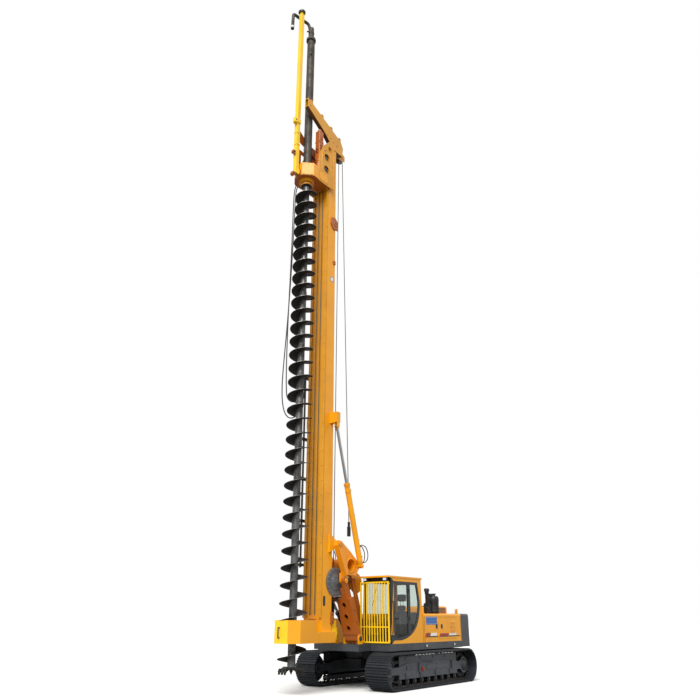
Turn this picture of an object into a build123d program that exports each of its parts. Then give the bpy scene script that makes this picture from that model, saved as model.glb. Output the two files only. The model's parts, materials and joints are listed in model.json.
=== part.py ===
from build123d import *
from math import atan2, cos, degrees, hypot, pi, sin, tan
import os

# Crawler rig that bores piles with a continuous flight auger.
# Millimetres. +X is the machine's front, +Y its left, +Z up.
# The origin is the slewing axis at ground level.

os.makedirs("parts", exist_ok=True)

# Undercarriage
track_gauge = 2730
shoe_width = 800
tumbler_front_x = 2150
tumbler_rear_x = -2250
link_radius = 400
link_height = 58
link_width = 190
shoe_plate = 26
grouser_height = 26
shoes_along_run = 22
shoes_round_end = 7
side_frame_width = 300
side_frame_wall = 22
idler_shaft = 75
final_drive = 190
roller_radius = 90
rollers_below = 9
carbody_bottom = 470
carbody_top = 940
carbody_half_length = 900
carbody_wall = 30
carbody_half_width = 620
ring_radius = 640
ring_bottom = carbody_top
tow_eye_radius = 35
tow_eye_x = 710
tow_plate = 50

# Deck and superstructure
deck_bottom = 1050
deck_top = 1250
house_half_width = 1495
deck_rear_x = -2260
deck_front_x = 2080
deck_nose_x = 2700
deck_nose_half_width = 790
deck_plate = 14
deck_rim = 30
body_front_x = 150
body_top = 2100
body_wall = 25
counterweight_front_x = deck_rear_x
counterweight_rear_x = -3400
counterweight_bottom = 1060
counterweight_top = 2110
counterweight_back = 420
counterweight_side = 230
counterweight_wall = 60
counterweight_round = 260
counterweight_edge = 70
panel_gap = 6

# Hinges of doors and lid: the axis stands off the surface by the offset
hinge_radius = 12
hinge_offset = 12.5
hinge_pin = 5
hinge_leaf = 45
hinge_plate = 6
hinge_split = 3
hinge_length = 60
hinge_room = 1

# Cab
cab_rear_x = 215
cab_front_x = 2020
cab_inner_y = 430
cab_outer_y = 1490
cab_top = 3130
cab_wall = 45
roof_plate = 50
glass = 6

# Boom linkage, each point as X and Z
boom_foot = (2550, 1400)
boom_head = (3100, 3010)
link_foot = (1830, 1570)
luff_foot = (2000, 1440)
luff_eye = (2850, 2500)
pivot = (3395, 4080)
tilt_foot = (2330, 3480)
tilt_eye = (3560, 7750)
cheek_inner = 430
cheek_outer = 500
link_inner = 270
link_outer = 320
link_plate_share = (0.14, 0.58)
link_plate_half = 45
arm_half = 120
arm_inner = 220
arm_outer = 720
arm_wall = 20
arm_head_outer = 620
arm_head = 95
luff_y = 135
luff_tube = 70
tilt_y = 600
pin_radius = 45
pin_gap = 0.3
side_gap = 6
eye_drift = 14

# Mast
mast_half_width = 360
mast_rear_x = 3460
mast_front_x = 3880
mast_bottom = 1330
mast_top = 19100
mast_wall = 10
rail_width = 90
rail_depth = 60
auger_x = 4740
auger_radius = 405
auger_pipe = 115
auger_bore = 101
flight_pitch = 480
flight_plate = 18
flight_steps = 16
flight_start = -8
flight_turns = 33
flight_zero = 960
bit_bottom = 510
bit_joint = bit_bottom + 205
coupling_z = 16825
coupling_high = 105
guide_bottom = 1310
guide_top = 1910
guide_front_x = 5200
guide_bore = 440
guide_step = 1600
guide_step_x = 4282
guide_plate = 20

# Rotary head
head_bottom = 17050
head_top = 17600
head_front_x = 5190
head_half_width = 480
head_ring = 278
motor_foot = 520
motor_top = 1850
carriage_top = 19200
carriage_plate = 25
carriage_rear_x = 3720
carriage_front_x = 4560
tube_radius = 150
tube_bore = 136
tube_top = 24300
pole_x = 5350
pole_side = 150
pole_wall = 8
pole_top = tube_top + 1100
neck_radius = 64
neck_sides = 14
neck_y = -190

# Cathead
arm_low_y = 215
arm_high_y = 375
arm_front_x = 5200

# Hoses of the head: the blocks that they end in, and the free hoses' points as X, Y and Z
hose_radius = 20
hose_pipe_radius = 17
hose_pipe_y = (-532, -578)
hose_pipe_x = 3880
hose_pipe_low = 3400
hose_block_y = 620
hose_clamp_z = 9560
outer_hose_route = (
    (4300, -624, 17620), (4300, -780, 17605), (4298, -905, 17480), (4295, -960, 17270), (4290, -985, 16950),
    (4280, -1005, 16370), (4268, -1022, 15780), (4256, -1042, 15190), (4244, -1066, 14600),
    (4232, -1094, 14010), (4220, -1126, 13420), (4208, -1162, 12830), (4196, -1202, 12240),
    (4184, -1246, 11650), (4172, -1294, 11060), (4160, -1344, 10480), (4148, -1391, 9910),
    (4136, -1418, 9370), (4120, -1395, 8870), (4095, -1300, 8450), (4055, -1110, 8210), (4010, -860, 8220),
    (3970, -655, 8450), (3945, -560, 8880), (3935, -532, 9230), (3935, -532, 9560),
)
inner_hose_route = (
    (4385, -624, 17620), (4385, -780, 17605), (4383, -905, 17480), (4380, -960, 17270), (4375, -985, 16950),
    (4362, -1003, 16370), (4346, -1018, 15780), (4328, -1036, 15190), (4310, -1056, 14600),
    (4292, -1079, 14010), (4274, -1104, 13420), (4256, -1130, 12830), (4238, -1154, 12240),
    (4220, -1175, 11650), (4202, -1192, 11060), (4184, -1204, 10480), (4166, -1210, 9950),
    (4150, -1213, 9570), (4130, -1207, 9250), (4108, -1196, 8985), (4080, -1081, 8815), (4040, -889, 8753),
    (4000, -697, 8815), (3965, -600, 8985), (3935, -578, 9275), (3935, -578, 9560),
)

# Winches, each centre as X and Z
main_winch = (3305, 2970)
main_flange = 420
layer_radius = 200
drum_flange = 250
drum_room = 25
aux_winch = (2080, 2990)
aux_flange = 310
aux_core = 150
aux_half = 222
main_half = 352
winch_hub = 70
flange_plate = 18
rope_radius = 14


def keep(builder, name):
    builder.part.label = name
    export_step(builder.part, f"parts/{name}.step")


# Planes: side faces -Y at y and is drawn in X and Z, and extruding it goes towards -Y.
def side(y):
    return Plane.XZ.offset(-y)


def front(x):
    return Plane.YZ.offset(x)


def level(z):
    return Plane.XY.offset(z)


def lean(a, b):
    return degrees(atan2(b[1] - a[1], b[0] - a[0]))


def reach(a, b):
    return hypot(b[0] - a[0], b[1] - a[1])


def between(a, b, share):
    return (a[0] + (b[0] - a[0]) * share, a[1] + (b[1] - a[1]) * share)


def block(x, y, z, mode=Mode.ADD):
    """A box from three (low, high) pairs."""
    with BuildSketch(level(z[0])) as outline:
        with Locations(((x[0] + x[1]) / 2, (y[0] + y[1]) / 2)):
            Rectangle(x[1] - x[0], y[1] - y[0])
    extrude(outline.sketch, amount=z[1] - z[0], mode=mode)


def disc(at, y, radius, mode=Mode.ADD):
    """A round bar across the machine at (X, Z), between two Y values."""
    with BuildSketch(side(y[1])) as outline:
        with Locations(at):
            Circle(radius)
    extrude(outline.sketch, amount=y[1] - y[0], mode=mode)


def slab(points, y, mode=Mode.ADD):
    """A plate with its outline in X and Z, between two Y values."""
    with BuildSketch(side(y[1])) as outline:
        with BuildLine():
            Polyline(*points, close=True)
        make_face()
    extrude(outline.sketch, amount=y[1] - y[0], mode=mode)


def lug(at, base, y, half, mode=Mode.ADD):
    """A plate with a round end at (X, Z), standing on a base height."""
    with BuildSketch(side(y[1])) as outline:
        with Locations(at):
            Circle(half)
        with Locations((at[0], (at[1] + base) / 2)):
            Rectangle(2 * half, abs(at[1] - base))
    extrude(outline.sketch, amount=y[1] - y[0], mode=mode)


def fork(at, base, y, plate, half):
    """Two lugs and their pin, standing each side of what swings between two Y values."""
    lug(at, base, (y[0] - side_gap - plate, y[0] - side_gap), half)
    lug(at, base, (y[1] + side_gap, y[1] + side_gap + plate), half)
    disc(at, (y[0] - side_gap - plate, y[1] + side_gap + plate), pin_radius)


def hinge_half(plane, axis, toward, out, pin=0, mode=Mode.ADD):
    """A knuckle round the axis and its leaf, which lies on the surface below it."""
    with BuildSketch(plane) as half:
        with Locations(axis):
            Circle(hinge_radius)
        leaf_x = axis[0] + toward * (hinge_split + hinge_leaf / 2)
        leaf_at = (leaf_x, axis[1] - out * (hinge_offset - hinge_plate / 2))
        with Locations(leaf_at):
            Rectangle(hinge_leaf, hinge_plate)
        if not pin:
            with Locations(axis):
                Circle(hinge_pin + pin_gap, mode=Mode.SUBTRACT)
    extrude(half.sketch, amount=hinge_length, mode=mode)
    if pin:
        with BuildSketch(plane) as shaft:
            with Locations(axis):
                Circle(hinge_pin)
        extrude(shaft.sketch, amount=pin)


def both(low, high):
    return ((low, high), (-high, -low))


# Tracks: one loop each, its shoes standing out of the link line
shoe_base = link_radius + link_height
shoe_line = shoe_base + shoe_plate
grouser_line = shoe_line + grouser_height
tumbler_z = grouser_line
track_run = tumbler_front_x - tumbler_rear_x
track_middle_x = (tumbler_front_x + tumbler_rear_x) / 2

# share of a pitch, height over the link line
shoe_profile = (
    (0.02, shoe_base + 6), (0.14, grouser_line), (0.31, shoe_line), (0.49, grouser_line), (0.67, shoe_line),
    (0.85, grouser_line),
)


def shoe_points():
    pitch = track_run / shoes_along_run
    points = []
    for index in range(shoes_along_run):
        start_x = tumbler_rear_x + index * pitch
        points += [(start_x + share * pitch, tumbler_z - high) for share, high in shoe_profile]
    for index in range(shoes_round_end):
        for share, high in shoe_profile:
            turn = pi * (index + share) / shoes_round_end - pi / 2
            points.append((tumbler_front_x + high * cos(turn), tumbler_z + high * sin(turn)))
    for index in range(shoes_along_run):
        start_x = tumbler_front_x - index * pitch
        points += [(start_x - share * pitch, tumbler_z + high) for share, high in shoe_profile]
    for index in range(shoes_round_end):
        for share, high in shoe_profile:
            turn = pi * (index + share) / shoes_round_end + pi / 2
            points.append((tumbler_rear_x + high * cos(turn), tumbler_z + high * sin(turn)))
    return points


for name, sign in (("left", 1), ("right", -1)):
    middle_y = sign * track_gauge / 2
    with BuildPart() as track:
        with BuildSketch(side(middle_y + shoe_width / 2)):
            with BuildLine():
                Polyline(*shoe_points(), close=True)
            make_face()
            with Locations((track_middle_x, tumbler_z)):
                SlotCenterToCenter(track_run, 2 * shoe_base, mode=Mode.SUBTRACT)
        extrude(amount=shoe_width)
        with BuildSketch(side(middle_y + link_width / 2)):
            with Locations((track_middle_x, tumbler_z)):
                SlotCenterToCenter(track_run, 2 * shoe_base)
                SlotCenterToCenter(track_run, 2 * link_radius, mode=Mode.SUBTRACT)
        extrude(amount=link_width)
    keep(track, f"track_{name}")

# Track frames: a box beam each, carried on the carbody, with the rollers' brackets
beam_low = tumbler_z - 110
beam_high = tumbler_z + 190
beam_front_x = tumbler_front_x - 430
beam_rear_x = tumbler_rear_x + 420
with BuildPart() as side_frames:
    for sign in (1, -1):
        middle_y = sign * track_gauge / 2
        low_y = middle_y - side_frame_width / 2
        high_y = middle_y + side_frame_width / 2
        slab(
            ((beam_rear_x, beam_low), (beam_front_x, beam_low), (beam_front_x, beam_high - 90),
             (beam_front_x - 500, beam_high), (beam_rear_x + 300, beam_high), (beam_rear_x, beam_high - 80)),
            (low_y, high_y),
        )
        block(
            (beam_rear_x + side_frame_wall, beam_front_x - side_frame_wall),
            (low_y + side_frame_wall, high_y - side_frame_wall),
            (beam_low - 1, beam_high - 130),
            Mode.SUBTRACT,
        )
        for y in ((low_y, low_y + side_frame_wall), (high_y - side_frame_wall, high_y)):
            block((beam_front_x - 40, tumbler_front_x), y, (tumbler_z - 100, tumbler_z + 100))
            disc((tumbler_front_x, tumbler_z), y, 150)
            disc((tumbler_front_x, tumbler_z), y, idler_shaft + pin_gap, Mode.SUBTRACT)
            block((tumbler_rear_x, beam_rear_x + 40), y, (tumbler_z - 120, tumbler_z + 120))
            disc((tumbler_rear_x, tumbler_z), y, 250)
            disc((tumbler_rear_x, tumbler_z), y, final_drive + pin_gap, Mode.SUBTRACT)
            block((beam_rear_x + 60, beam_front_x - 60), y, (beam_low - 120, beam_low + 1))
keep(side_frames, "track_frames")

roller_pitch = (beam_front_x - beam_rear_x - 300) / (rollers_below - 1)
roller_z = tumbler_z - link_radius + roller_radius
carrier_z = tumbler_z + link_radius - roller_radius
with BuildPart() as rollers:
    for sign in (1, -1):
        middle_y = sign * track_gauge / 2
        inside = side_frame_width / 2 - side_frame_wall
        for index in range(rollers_below):
            x = beam_rear_x + 150 + index * roller_pitch
            disc((x, roller_z), (middle_y - inside, middle_y + inside), roller_radius)
        for x in (-900, 700):
            disc((x, carrier_z), (middle_y - 90, middle_y + 90), roller_radius)
            block((x - 40, x + 40), (middle_y - 60, middle_y + 60), (beam_high, carrier_z))
keep(rollers, "track_rollers")

with BuildPart() as idlers:
    for sign in (1, -1):
        middle_y = sign * track_gauge / 2
        disc((tumbler_front_x, tumbler_z), (middle_y - 90, middle_y + 90), link_radius)
        disc((tumbler_front_x, tumbler_z), (middle_y - 175, middle_y + 175), idler_shaft)
keep(idlers, "front_idlers")

with BuildPart() as sprockets:
    for sign in (1, -1):
        middle_y = sign * track_gauge / 2
        disc((tumbler_rear_x, tumbler_z), (middle_y - 45, middle_y + 45), link_radius)
        disc((tumbler_rear_x, tumbler_z), (middle_y - 210, middle_y + 210), final_drive)
keep(sprockets, "drive_sprockets")

with BuildPart() as carbody:
    frame_inner_y = track_gauge / 2 - side_frame_width / 2
    inner = carbody_half_width - carbody_wall
    block(
        (-carbody_half_width, carbody_half_width), (-carbody_half_width, carbody_half_width),
        (carbody_bottom, carbody_top),
    )
    block((-inner, inner), (-inner, inner), (carbody_bottom - 1, carbody_top - carbody_wall), Mode.SUBTRACT)
    for x in (carbody_half_length - 180, -carbody_half_length + 180):
        for sign in (1, -1):
            low_y, high_y = sorted((sign * 500, sign * frame_inner_y))
            block((x - 180, x + 180), (low_y, high_y), (carbody_bottom, carbody_bottom + 260))
    # tow plates lie flat, each with an upright eye
    for sign in (1, -1):
        with BuildSketch(level(carbody_bottom)) as plate:
            with Locations((sign * tow_eye_x, 0)):
                Circle(2.6 * tow_eye_radius)
            with Locations((sign * (tow_eye_x + carbody_half_width) / 2, 0)):
                Rectangle(tow_eye_x - carbody_half_width, 5.2 * tow_eye_radius)
            with Locations((sign * tow_eye_x, 0)):
                Circle(tow_eye_radius, mode=Mode.SUBTRACT)
        extrude(plate.sketch, amount=tow_plate)
keep(carbody, "carbody")

with BuildPart() as ring:
    with BuildSketch(level(ring_bottom)):
        Circle(ring_radius)
        Circle(ring_radius - 130, mode=Mode.SUBTRACT)
    extrude(amount=deck_bottom - side_gap - ring_bottom)
keep(ring, "slew_ring")

# Deck: a plated frame with a rim, two long beams and the feet of the boom linkage
with BuildPart() as deck:
    with BuildSketch(level(deck_bottom)) as deck_outline:
        with Locations(((deck_rear_x + deck_front_x) / 2, 0)):
            Rectangle(deck_front_x - deck_rear_x, 2 * house_half_width)
        with Locations(((deck_rear_x + deck_nose_x) / 2, 0)):
            Rectangle(deck_nose_x - deck_rear_x, 2 * deck_nose_half_width)
    extrude(amount=deck_top - deck_bottom)
    with BuildSketch(level(deck_bottom)):
        add(deck_outline.sketch)
        offset(amount=-deck_rim, kind=Kind.INTERSECTION, mode=Mode.REPLACE)
    extrude(amount=deck_top - deck_bottom - deck_plate, mode=Mode.SUBTRACT)
    for y in both(cheek_inner - 20, cheek_inner + 20):
        block((deck_rear_x + deck_rim, deck_nose_x - deck_rim), y, (deck_bottom, deck_top - deck_plate))
    with BuildSketch(level(deck_bottom)):
        Circle(ring_radius + 40)
    extrude(amount=deck_top - deck_bottom - deck_plate)
    with BuildSketch(level(deck_bottom)):
        Circle(ring_radius - 140)
    extrude(amount=deck_top - deck_bottom - deck_plate, mode=Mode.SUBTRACT)
    # the slewing ring's inner race
    with BuildSketch(level(ring_bottom + 20)):
        Circle(ring_radius - 130 - pin_gap)
        Circle(ring_radius - 170, mode=Mode.SUBTRACT)
    extrude(amount=deck_bottom + 40 - ring_bottom)
    for y in both(arm_inner, arm_outer):
        fork(boom_foot, deck_top, y, 26, 110)
    for y in both(link_inner, link_outer):
        fork(link_foot, deck_top, y, 20, 80)
    for y in both(luff_y - 45, luff_y + 45):
        fork(luff_foot, deck_top, y, 20, 80)
keep(deck, "deck_frame")

with BuildPart() as counterweight:
    with BuildSketch(level(counterweight_bottom)):
        with BuildLine():
            Polyline(
                (counterweight_front_x, -house_half_width), (counterweight_front_x, house_half_width),
                (counterweight_rear_x + 520, house_half_width), (counterweight_rear_x, 820),
                (counterweight_rear_x, -820), (counterweight_rear_x + 520, -house_half_width), close=True,
            )
        make_face()
    extrude(amount=counterweight_top - counterweight_bottom)
    upright = counterweight.edges().filter_by(Axis.Z).sort_by(Axis.X)[:4]
    fillet(upright, counterweight_round)
    fillet(counterweight.faces().sort_by(Axis.Z)[-1].edges().sort_by(Axis.X)[:-1], counterweight_edge)
    # its weight stands in a closed box behind the engine
    block(
        (counterweight_rear_x + counterweight_back, counterweight_front_x - counterweight_wall),
        (-house_half_width + counterweight_side, house_half_width - counterweight_side),
        (counterweight_bottom + counterweight_wall, counterweight_top - counterweight_wall), Mode.SUBTRACT,
    )
keep(counterweight, "counterweight")

with BuildPart() as engine:
    block((-2050, -950), (-450, 450), (deck_top, 2030))
    block((-1990, -1010), (-390, 390), (deck_top - 1, 1970), Mode.SUBTRACT)
keep(engine, "engine_block")

# Side door and lid openings, as (low, high) in X and Z or Y
side_door_x = (-1950, -700)
side_door_z = (1330, 2000)
lid_x = (-2160, -1330)
lid_y = (-640, 1120)
hump_high = 250
hump_round = 70
body_y = house_half_width
door_hinge_z = (side_door_z[0] + 60, side_door_z[1] - 200)
lid_hinge_y = (-400, 850)
with BuildPart() as body:
    block((deck_rear_x, body_front_x), (-body_y, body_y), (deck_top, body_top))
    fillet(body.faces().sort_by(Axis.Z)[-1].edges().filter_by(Axis.X), 50)
    block(
        (deck_rear_x + body_wall, body_front_x - body_wall), (-body_y + body_wall, body_y - body_wall),
        (deck_top - 1, body_top - body_wall), Mode.SUBTRACT,
    )
    for y in ((-body_y - 1, -body_y + body_wall + 1), (body_y - body_wall - 1, body_y + 1)):
        block(side_door_x, y, side_door_z, Mode.SUBTRACT)
    block(lid_x, lid_y, (body_top - body_wall - 1, body_top + 1), Mode.SUBTRACT)
    # fixed halves of the hinges
    for sign in (1, -1):
        for z in door_hinge_z:
            axis = (side_door_x[1], sign * (body_y + hinge_offset))
            hinge_half(level(z + hinge_length + hinge_room), axis, 1, sign)
    for y in lid_hinge_y:
        hinge_half(side(y - hinge_room), (lid_x[0], body_top + hinge_offset), -1, 1)
keep(body, "engine_housing")

with BuildPart() as tank:
    block((body_front_x + panel_gap, 1900), (-body_y, -cab_inner_y), (deck_top, 1960))
    fillet(tank.faces().sort_by(Axis.Z)[-1].edges(), 40)
    block(
        (body_front_x + panel_gap + body_wall, 1900 - body_wall),
        (-body_y + body_wall, -cab_inner_y - body_wall), (deck_top - 1, 1960 - body_wall), Mode.SUBTRACT,
    )
keep(tank, "fuel_and_oil_tanks")

door_x = (side_door_x[0] + panel_gap, side_door_x[1] - panel_gap)
door_z = (side_door_z[0] + panel_gap, side_door_z[1] - panel_gap)
for name, sign in (("left", 1), ("right", -1)):
    with BuildPart() as service_door:
        block(door_x, sorted((sign * (body_y - body_wall), sign * body_y)), door_z)
        for z in door_hinge_z:
            axis = (side_door_x[1], sign * (body_y + hinge_offset))
            hinge_half(level(z), axis, -1, sign, pin=2 * hinge_length + hinge_room)
    keep(service_door, f"service_door_{name}")

with BuildPart() as lid:
    x = (lid_x[0] + panel_gap, lid_x[1] - panel_gap)
    y = (lid_y[0] + panel_gap, lid_y[1] - panel_gap)
    block(x, y, (body_top - body_wall, body_top))
    block((x[0] + 60, x[1] - 60), (y[0] + 60, y[1] - 60), (body_top, body_top + hump_high))
    fillet(lid.faces().sort_by(Axis.Z)[-1].edges(), hump_round)
    block(
        (x[0] + 60 + body_wall, x[1] - 60 - body_wall), (y[0] + 60 + body_wall, y[1] - 60 - body_wall),
        (body_top - body_wall - 1, body_top + hump_high - hump_round), Mode.SUBTRACT,
    )
    for y in lid_hinge_y:
        axis = (lid_x[0], body_top + hinge_offset)
        hinge_half(side(y + hinge_length), axis, 1, 1, pin=2 * hinge_length + hinge_room)
keep(lid, "engine_hood")

# Exhaust: an upright pipe with its cap, and the air cleaner's canister behind it
with BuildPart() as exhaust:
    # place in X and Y, radius, height
    for at, radius, high in (((-780, 1070), 60, 720), ((-1100, 1130), 185, 560)):
        with BuildSketch(level(body_top)) as section:
            with Locations(at):
                Circle(radius)
        extrude(section.sketch, amount=high)
        with BuildSketch(level(body_top + high)) as section:
            with Locations(at):
                Circle(radius + 35)
        extrude(section.sketch, amount=90, taper=20)
    fillet(exhaust.faces().sort_by(Axis.Z)[-1].edges(), 10)
keep(exhaust, "exhaust_stack")

# Cab
cab_y = (cab_inner_y, cab_outer_y)
cab_side = (
    (cab_rear_x, deck_top), (cab_front_x - 60, deck_top), (cab_front_x, 1500), (cab_front_x - 60, cab_top),
    (cab_rear_x + 30, cab_top),
)
# one side opening runs over the door and the quarter light
def curve(start, via, end, count):
    """Points of a parabola from start to end that leaves and arrives along its via point."""
    shares = [index / count for index in range(count + 1)]
    return [between(between(start, via, share), between(via, end, share), share) for share in shares]


door_outline = (
    (1850, 1500), (1800, 3030), (470, 3030), *curve((350, 2480), (330, 1480), (1420, 1340), 8), (1840, 1340),
)
inner_window = ((1850, 1750), (1820, 3000), (420, 3000), (400, 1950))
windscreen_y = (cab_inner_y + 90, cab_outer_y - 90)
windscreen_z = (1500, 3040)
rear_window_y = (cab_inner_y + 130, cab_outer_y - 130)
rear_window_z = (2150, 2980)
with BuildPart() as cab:
    slab(cab_side, cab_y)
    inner = (
        (cab_rear_x + cab_wall, deck_top - 1), (cab_front_x - 60 - cab_wall, deck_top - 1),
        (cab_front_x - cab_wall, 1500), (cab_front_x - 60 - cab_wall, cab_top - cab_wall),
        (cab_rear_x + 30 + cab_wall, cab_top - cab_wall),
    )
    slab(inner, (cab_inner_y + cab_wall, cab_outer_y - cab_wall), Mode.SUBTRACT)
    slab(door_outline, (cab_outer_y - cab_wall - 1, cab_outer_y + 1), Mode.SUBTRACT)
    slab(inner_window, (cab_inner_y - 1, cab_inner_y + cab_wall + 1), Mode.SUBTRACT)
    block((cab_front_x - 200, cab_front_x + 1), windscreen_y, windscreen_z, Mode.SUBTRACT)
    block((cab_rear_x - 1, cab_rear_x + 120), rear_window_y, rear_window_z, Mode.SUBTRACT)
keep(cab, "cab_shell")

with BuildPart() as roof:
    block(
        (cab_rear_x - 10, cab_front_x + 130), (cab_inner_y - 10, cab_outer_y + 15),
        (cab_top, cab_top + roof_plate),
    )
keep(roof, "cab_roof")

door_split_x = 980
cab_hinge_at = (door_split_x - panel_gap / 2, cab_outer_y + hinge_offset)
cab_hinge_z = (1900, 2700)
door_rim = 80
door_post = 70


def shrink(points, amount):
    """The outline drawn in by a gap all round."""
    with BuildSketch() as outline:
        with BuildLine():
            Polyline(*points, close=True)
        make_face()
        offset(amount=-amount, kind=Kind.INTERSECTION, mode=Mode.REPLACE)
    return outline.sketch


with BuildPart() as cab_door:
    with BuildSketch(side(cab_outer_y)):
        add(shrink(door_outline, panel_gap))
        with Locations((door_split_x - 1000, 2200)):
            Rectangle(2000, 3000, mode=Mode.SUBTRACT)
    extrude(amount=cab_wall)
    with BuildSketch(side(cab_outer_y + 1)):
        add(shrink(door_outline, door_rim))
        with Locations((door_split_x + door_post - 1000, 2200)):
            Rectangle(2000, 3000, mode=Mode.SUBTRACT)
    extrude(amount=cab_wall + 2, mode=Mode.SUBTRACT)
    for z in cab_hinge_z:
        hinge_half(level(z), cab_hinge_at, 1, 1, pin=2 * hinge_length + hinge_room)
keep(cab_door, "cab_door")

with BuildPart() as quarter:
    with BuildSketch(side(cab_outer_y)):
        add(shrink(door_outline, 0.2))
        with Locations((door_split_x - panel_gap + 1000, 2200)):
            Rectangle(2000, 3000, mode=Mode.SUBTRACT)
    extrude(amount=cab_wall)
    with BuildSketch(side(cab_outer_y + 1)):
        add(shrink(door_outline, door_rim))
        with Locations((door_split_x - panel_gap - door_post + 1000, 2200)):
            Rectangle(2000, 3000, mode=Mode.SUBTRACT)
    extrude(amount=cab_wall + 2, mode=Mode.SUBTRACT)
    for z in cab_hinge_z:
        hinge_half(level(z + hinge_length + hinge_room), cab_hinge_at, -1, 1)
keep(quarter, "quarter_light_frame")

# Panes, each as large as its opening
pane_depth = cab_wall / 2
screen_slope = (cab_side[2][0] - cab_side[3][0]) / (cab_side[3][1] - cab_side[2][1])


def screen_x(z):
    return cab_front_x - pane_depth - (z - cab_side[2][1]) * screen_slope


with BuildPart() as panes:
    slab(
        [(screen_x(z), z) for z in windscreen_z] + [(screen_x(z) - glass, z) for z in reversed(windscreen_z)],
        windscreen_y,
    )
    slab(inner_window, (cab_inner_y + pane_depth - glass, cab_inner_y + pane_depth))
    block((cab_rear_x + 35, cab_rear_x + 35 + glass), rear_window_y, rear_window_z)
    with BuildSketch(side(cab_outer_y - pane_depth)):
        add(shrink(door_outline, door_rim))
        with Locations((door_split_x - panel_gap - door_post + 1000, 2200)):
            Rectangle(2000, 3000, mode=Mode.SUBTRACT)
    extrude(amount=glass)
keep(panes, "cab_glass")

with BuildPart() as door_pane:
    with BuildSketch(side(cab_outer_y - pane_depth)):
        add(shrink(door_outline, door_rim))
        with Locations((door_split_x + door_post - 1000, 2200)):
            Rectangle(2000, 3000, mode=Mode.SUBTRACT)
    extrude(amount=glass)
keep(door_pane, "cab_door_glass")

with BuildPart() as guard:
    x = (cab_front_x + 45, cab_front_x + 85)
    y = (cab_inner_y - 30, cab_outer_y)
    z = (deck_top + 20, 3010)
    block(x, y, z)
    block((x[0] - 1, x[1] + 1), (y[0] + 40, y[1] - 40), (z[0] + 40, z[1] - 40), Mode.SUBTRACT)
    for z_at in (z[0] + 60, z[1] - 60):
        for y_at in (y[0] + 60, y[1] - 60):
            block((cab_front_x - 60, x[0] + 1), (y_at - 20, y_at + 20), (z_at - 20, z_at + 20))
    slab(cab_side, cab_y, Mode.SUBTRACT)
    bars = 9
    for index in range(bars):
        at = y[0] + 40 + (y[1] - y[0] - 80) * (index + 1) / (bars + 1)
        block((x[0] + 5, x[1] - 5), (at - 12, at + 12), (z[0] + 30, z[1] - 30))
    block((x[0] + 5, x[1] - 5), (y[0] + 30, y[1] - 30), (1700, 1730))
keep(guard, "cab_guard")

with BuildPart() as seat:
    block((700, 1230), (720, 1220), (deck_top, 1650))
    slab(((620, 1500), (760, 1500), (680, 2350), (560, 2350)), (720, 1220))
keep(seat, "driver_seat")

# Boom arms: two cheeks joined by a tube at their foot and by the luffing tube
arm_reach = reach(boom_foot, boom_head)
sin_lean = (boom_head[0] - boom_foot[0]) / arm_reach
cos_lean = (boom_head[1] - boom_foot[1]) / arm_reach


def along(a, b, y, start):
    """The plane across the line from a to b, at a distance from a."""
    ux = (b[0] - a[0]) / reach(a, b)
    uz = (b[1] - a[1]) / reach(a, b)
    return Plane(origin=(a[0] + ux * start, y, a[1] + uz * start), x_dir=(0, 1, 0), z_dir=(ux, 0, uz))


def beam(a, b, shares, y, half, mode=Mode.ADD):
    """A straight box over two shares of the line from a to b."""
    low, high = (share * reach(a, b) for share in shares)
    with BuildSketch(along(a, b, (y[0] + y[1]) / 2, low)) as section:
        Rectangle(y[1] - y[0], 2 * half)
    extrude(section.sketch, amount=high - low, mode=mode)


def bar(a, b, y, half, mode=Mode.ADD):
    """A straight bar with round ends between two pins, seen from the side."""
    at = between(a, b, 0.5)
    with BuildSketch(side(y[1])) as outline:
        with Locations(Location((at[0], at[1], 0), (0, 0, lean(a, b)))):
            SlotCenterToCenter(reach(a, b), 2 * half)
    extrude(outline.sketch, amount=y[1] - y[0], mode=mode)


cheek_clearance = 200
# The box of each arm runs over these shares of the arm, with the head's lug above it
arm_box = (0.09, 0.7)
with BuildPart() as boom:
    for y in both(arm_inner, arm_outer):
        bar(boom_foot, between(boom_foot, boom_head, 0.2), y, 100)
        beam(boom_foot, boom_head, arm_box, y, arm_half)
        beam(boom_foot, boom_head, (arm_box[0] + 0.06, arm_box[1] - 0.02), (y[0] + arm_wall, y[1] - arm_wall),
             arm_half - arm_wall, Mode.SUBTRACT)
        for share in (0.2, 0.4, 0.6):
            at = between(boom_foot, boom_head, share)
            slope = Plane(origin=(at[0], (y[0] + y[1]) / 2, at[1]), z_dir=(cos_lean, 0, -sin_lean))
            with BuildSketch(slope) as hole:
                Circle(70)
            extrude(hole.sketch, amount=2 * arm_half, mode=Mode.SUBTRACT)
        disc(boom_foot, y, pin_radius + pin_gap, Mode.SUBTRACT)
    for y in both(cheek_inner, arm_head_outer):
        with BuildSketch(along(boom_foot, boom_head, sum(y) / 2, arm_box[1] * arm_reach)) as root:
            Rectangle(y[1] - y[0], 2 * arm_half)
        with BuildSketch(along(boom_foot, boom_head, sum(y) / 2, arm_reach - cheek_clearance / 2)) as top:
            Rectangle(y[1] - y[0], 2 * arm_head)
        loft(sections=[root.sketch, top.sketch])
        bar(between(boom_foot, boom_head, 0.93), boom_head, y, arm_head)
        disc(boom_head, y, pin_radius + pin_gap, Mode.SUBTRACT)
    # the frame's cheeks turn inside the arms' heads
    for y in both(cheek_inner - 1, cheek_outer + side_gap):
        disc(boom_head, y, cheek_clearance, Mode.SUBTRACT)
    disc(luff_eye, (-arm_inner - 1, arm_inner + 1), luff_tube)
keep(boom, "boom_arms")

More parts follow.
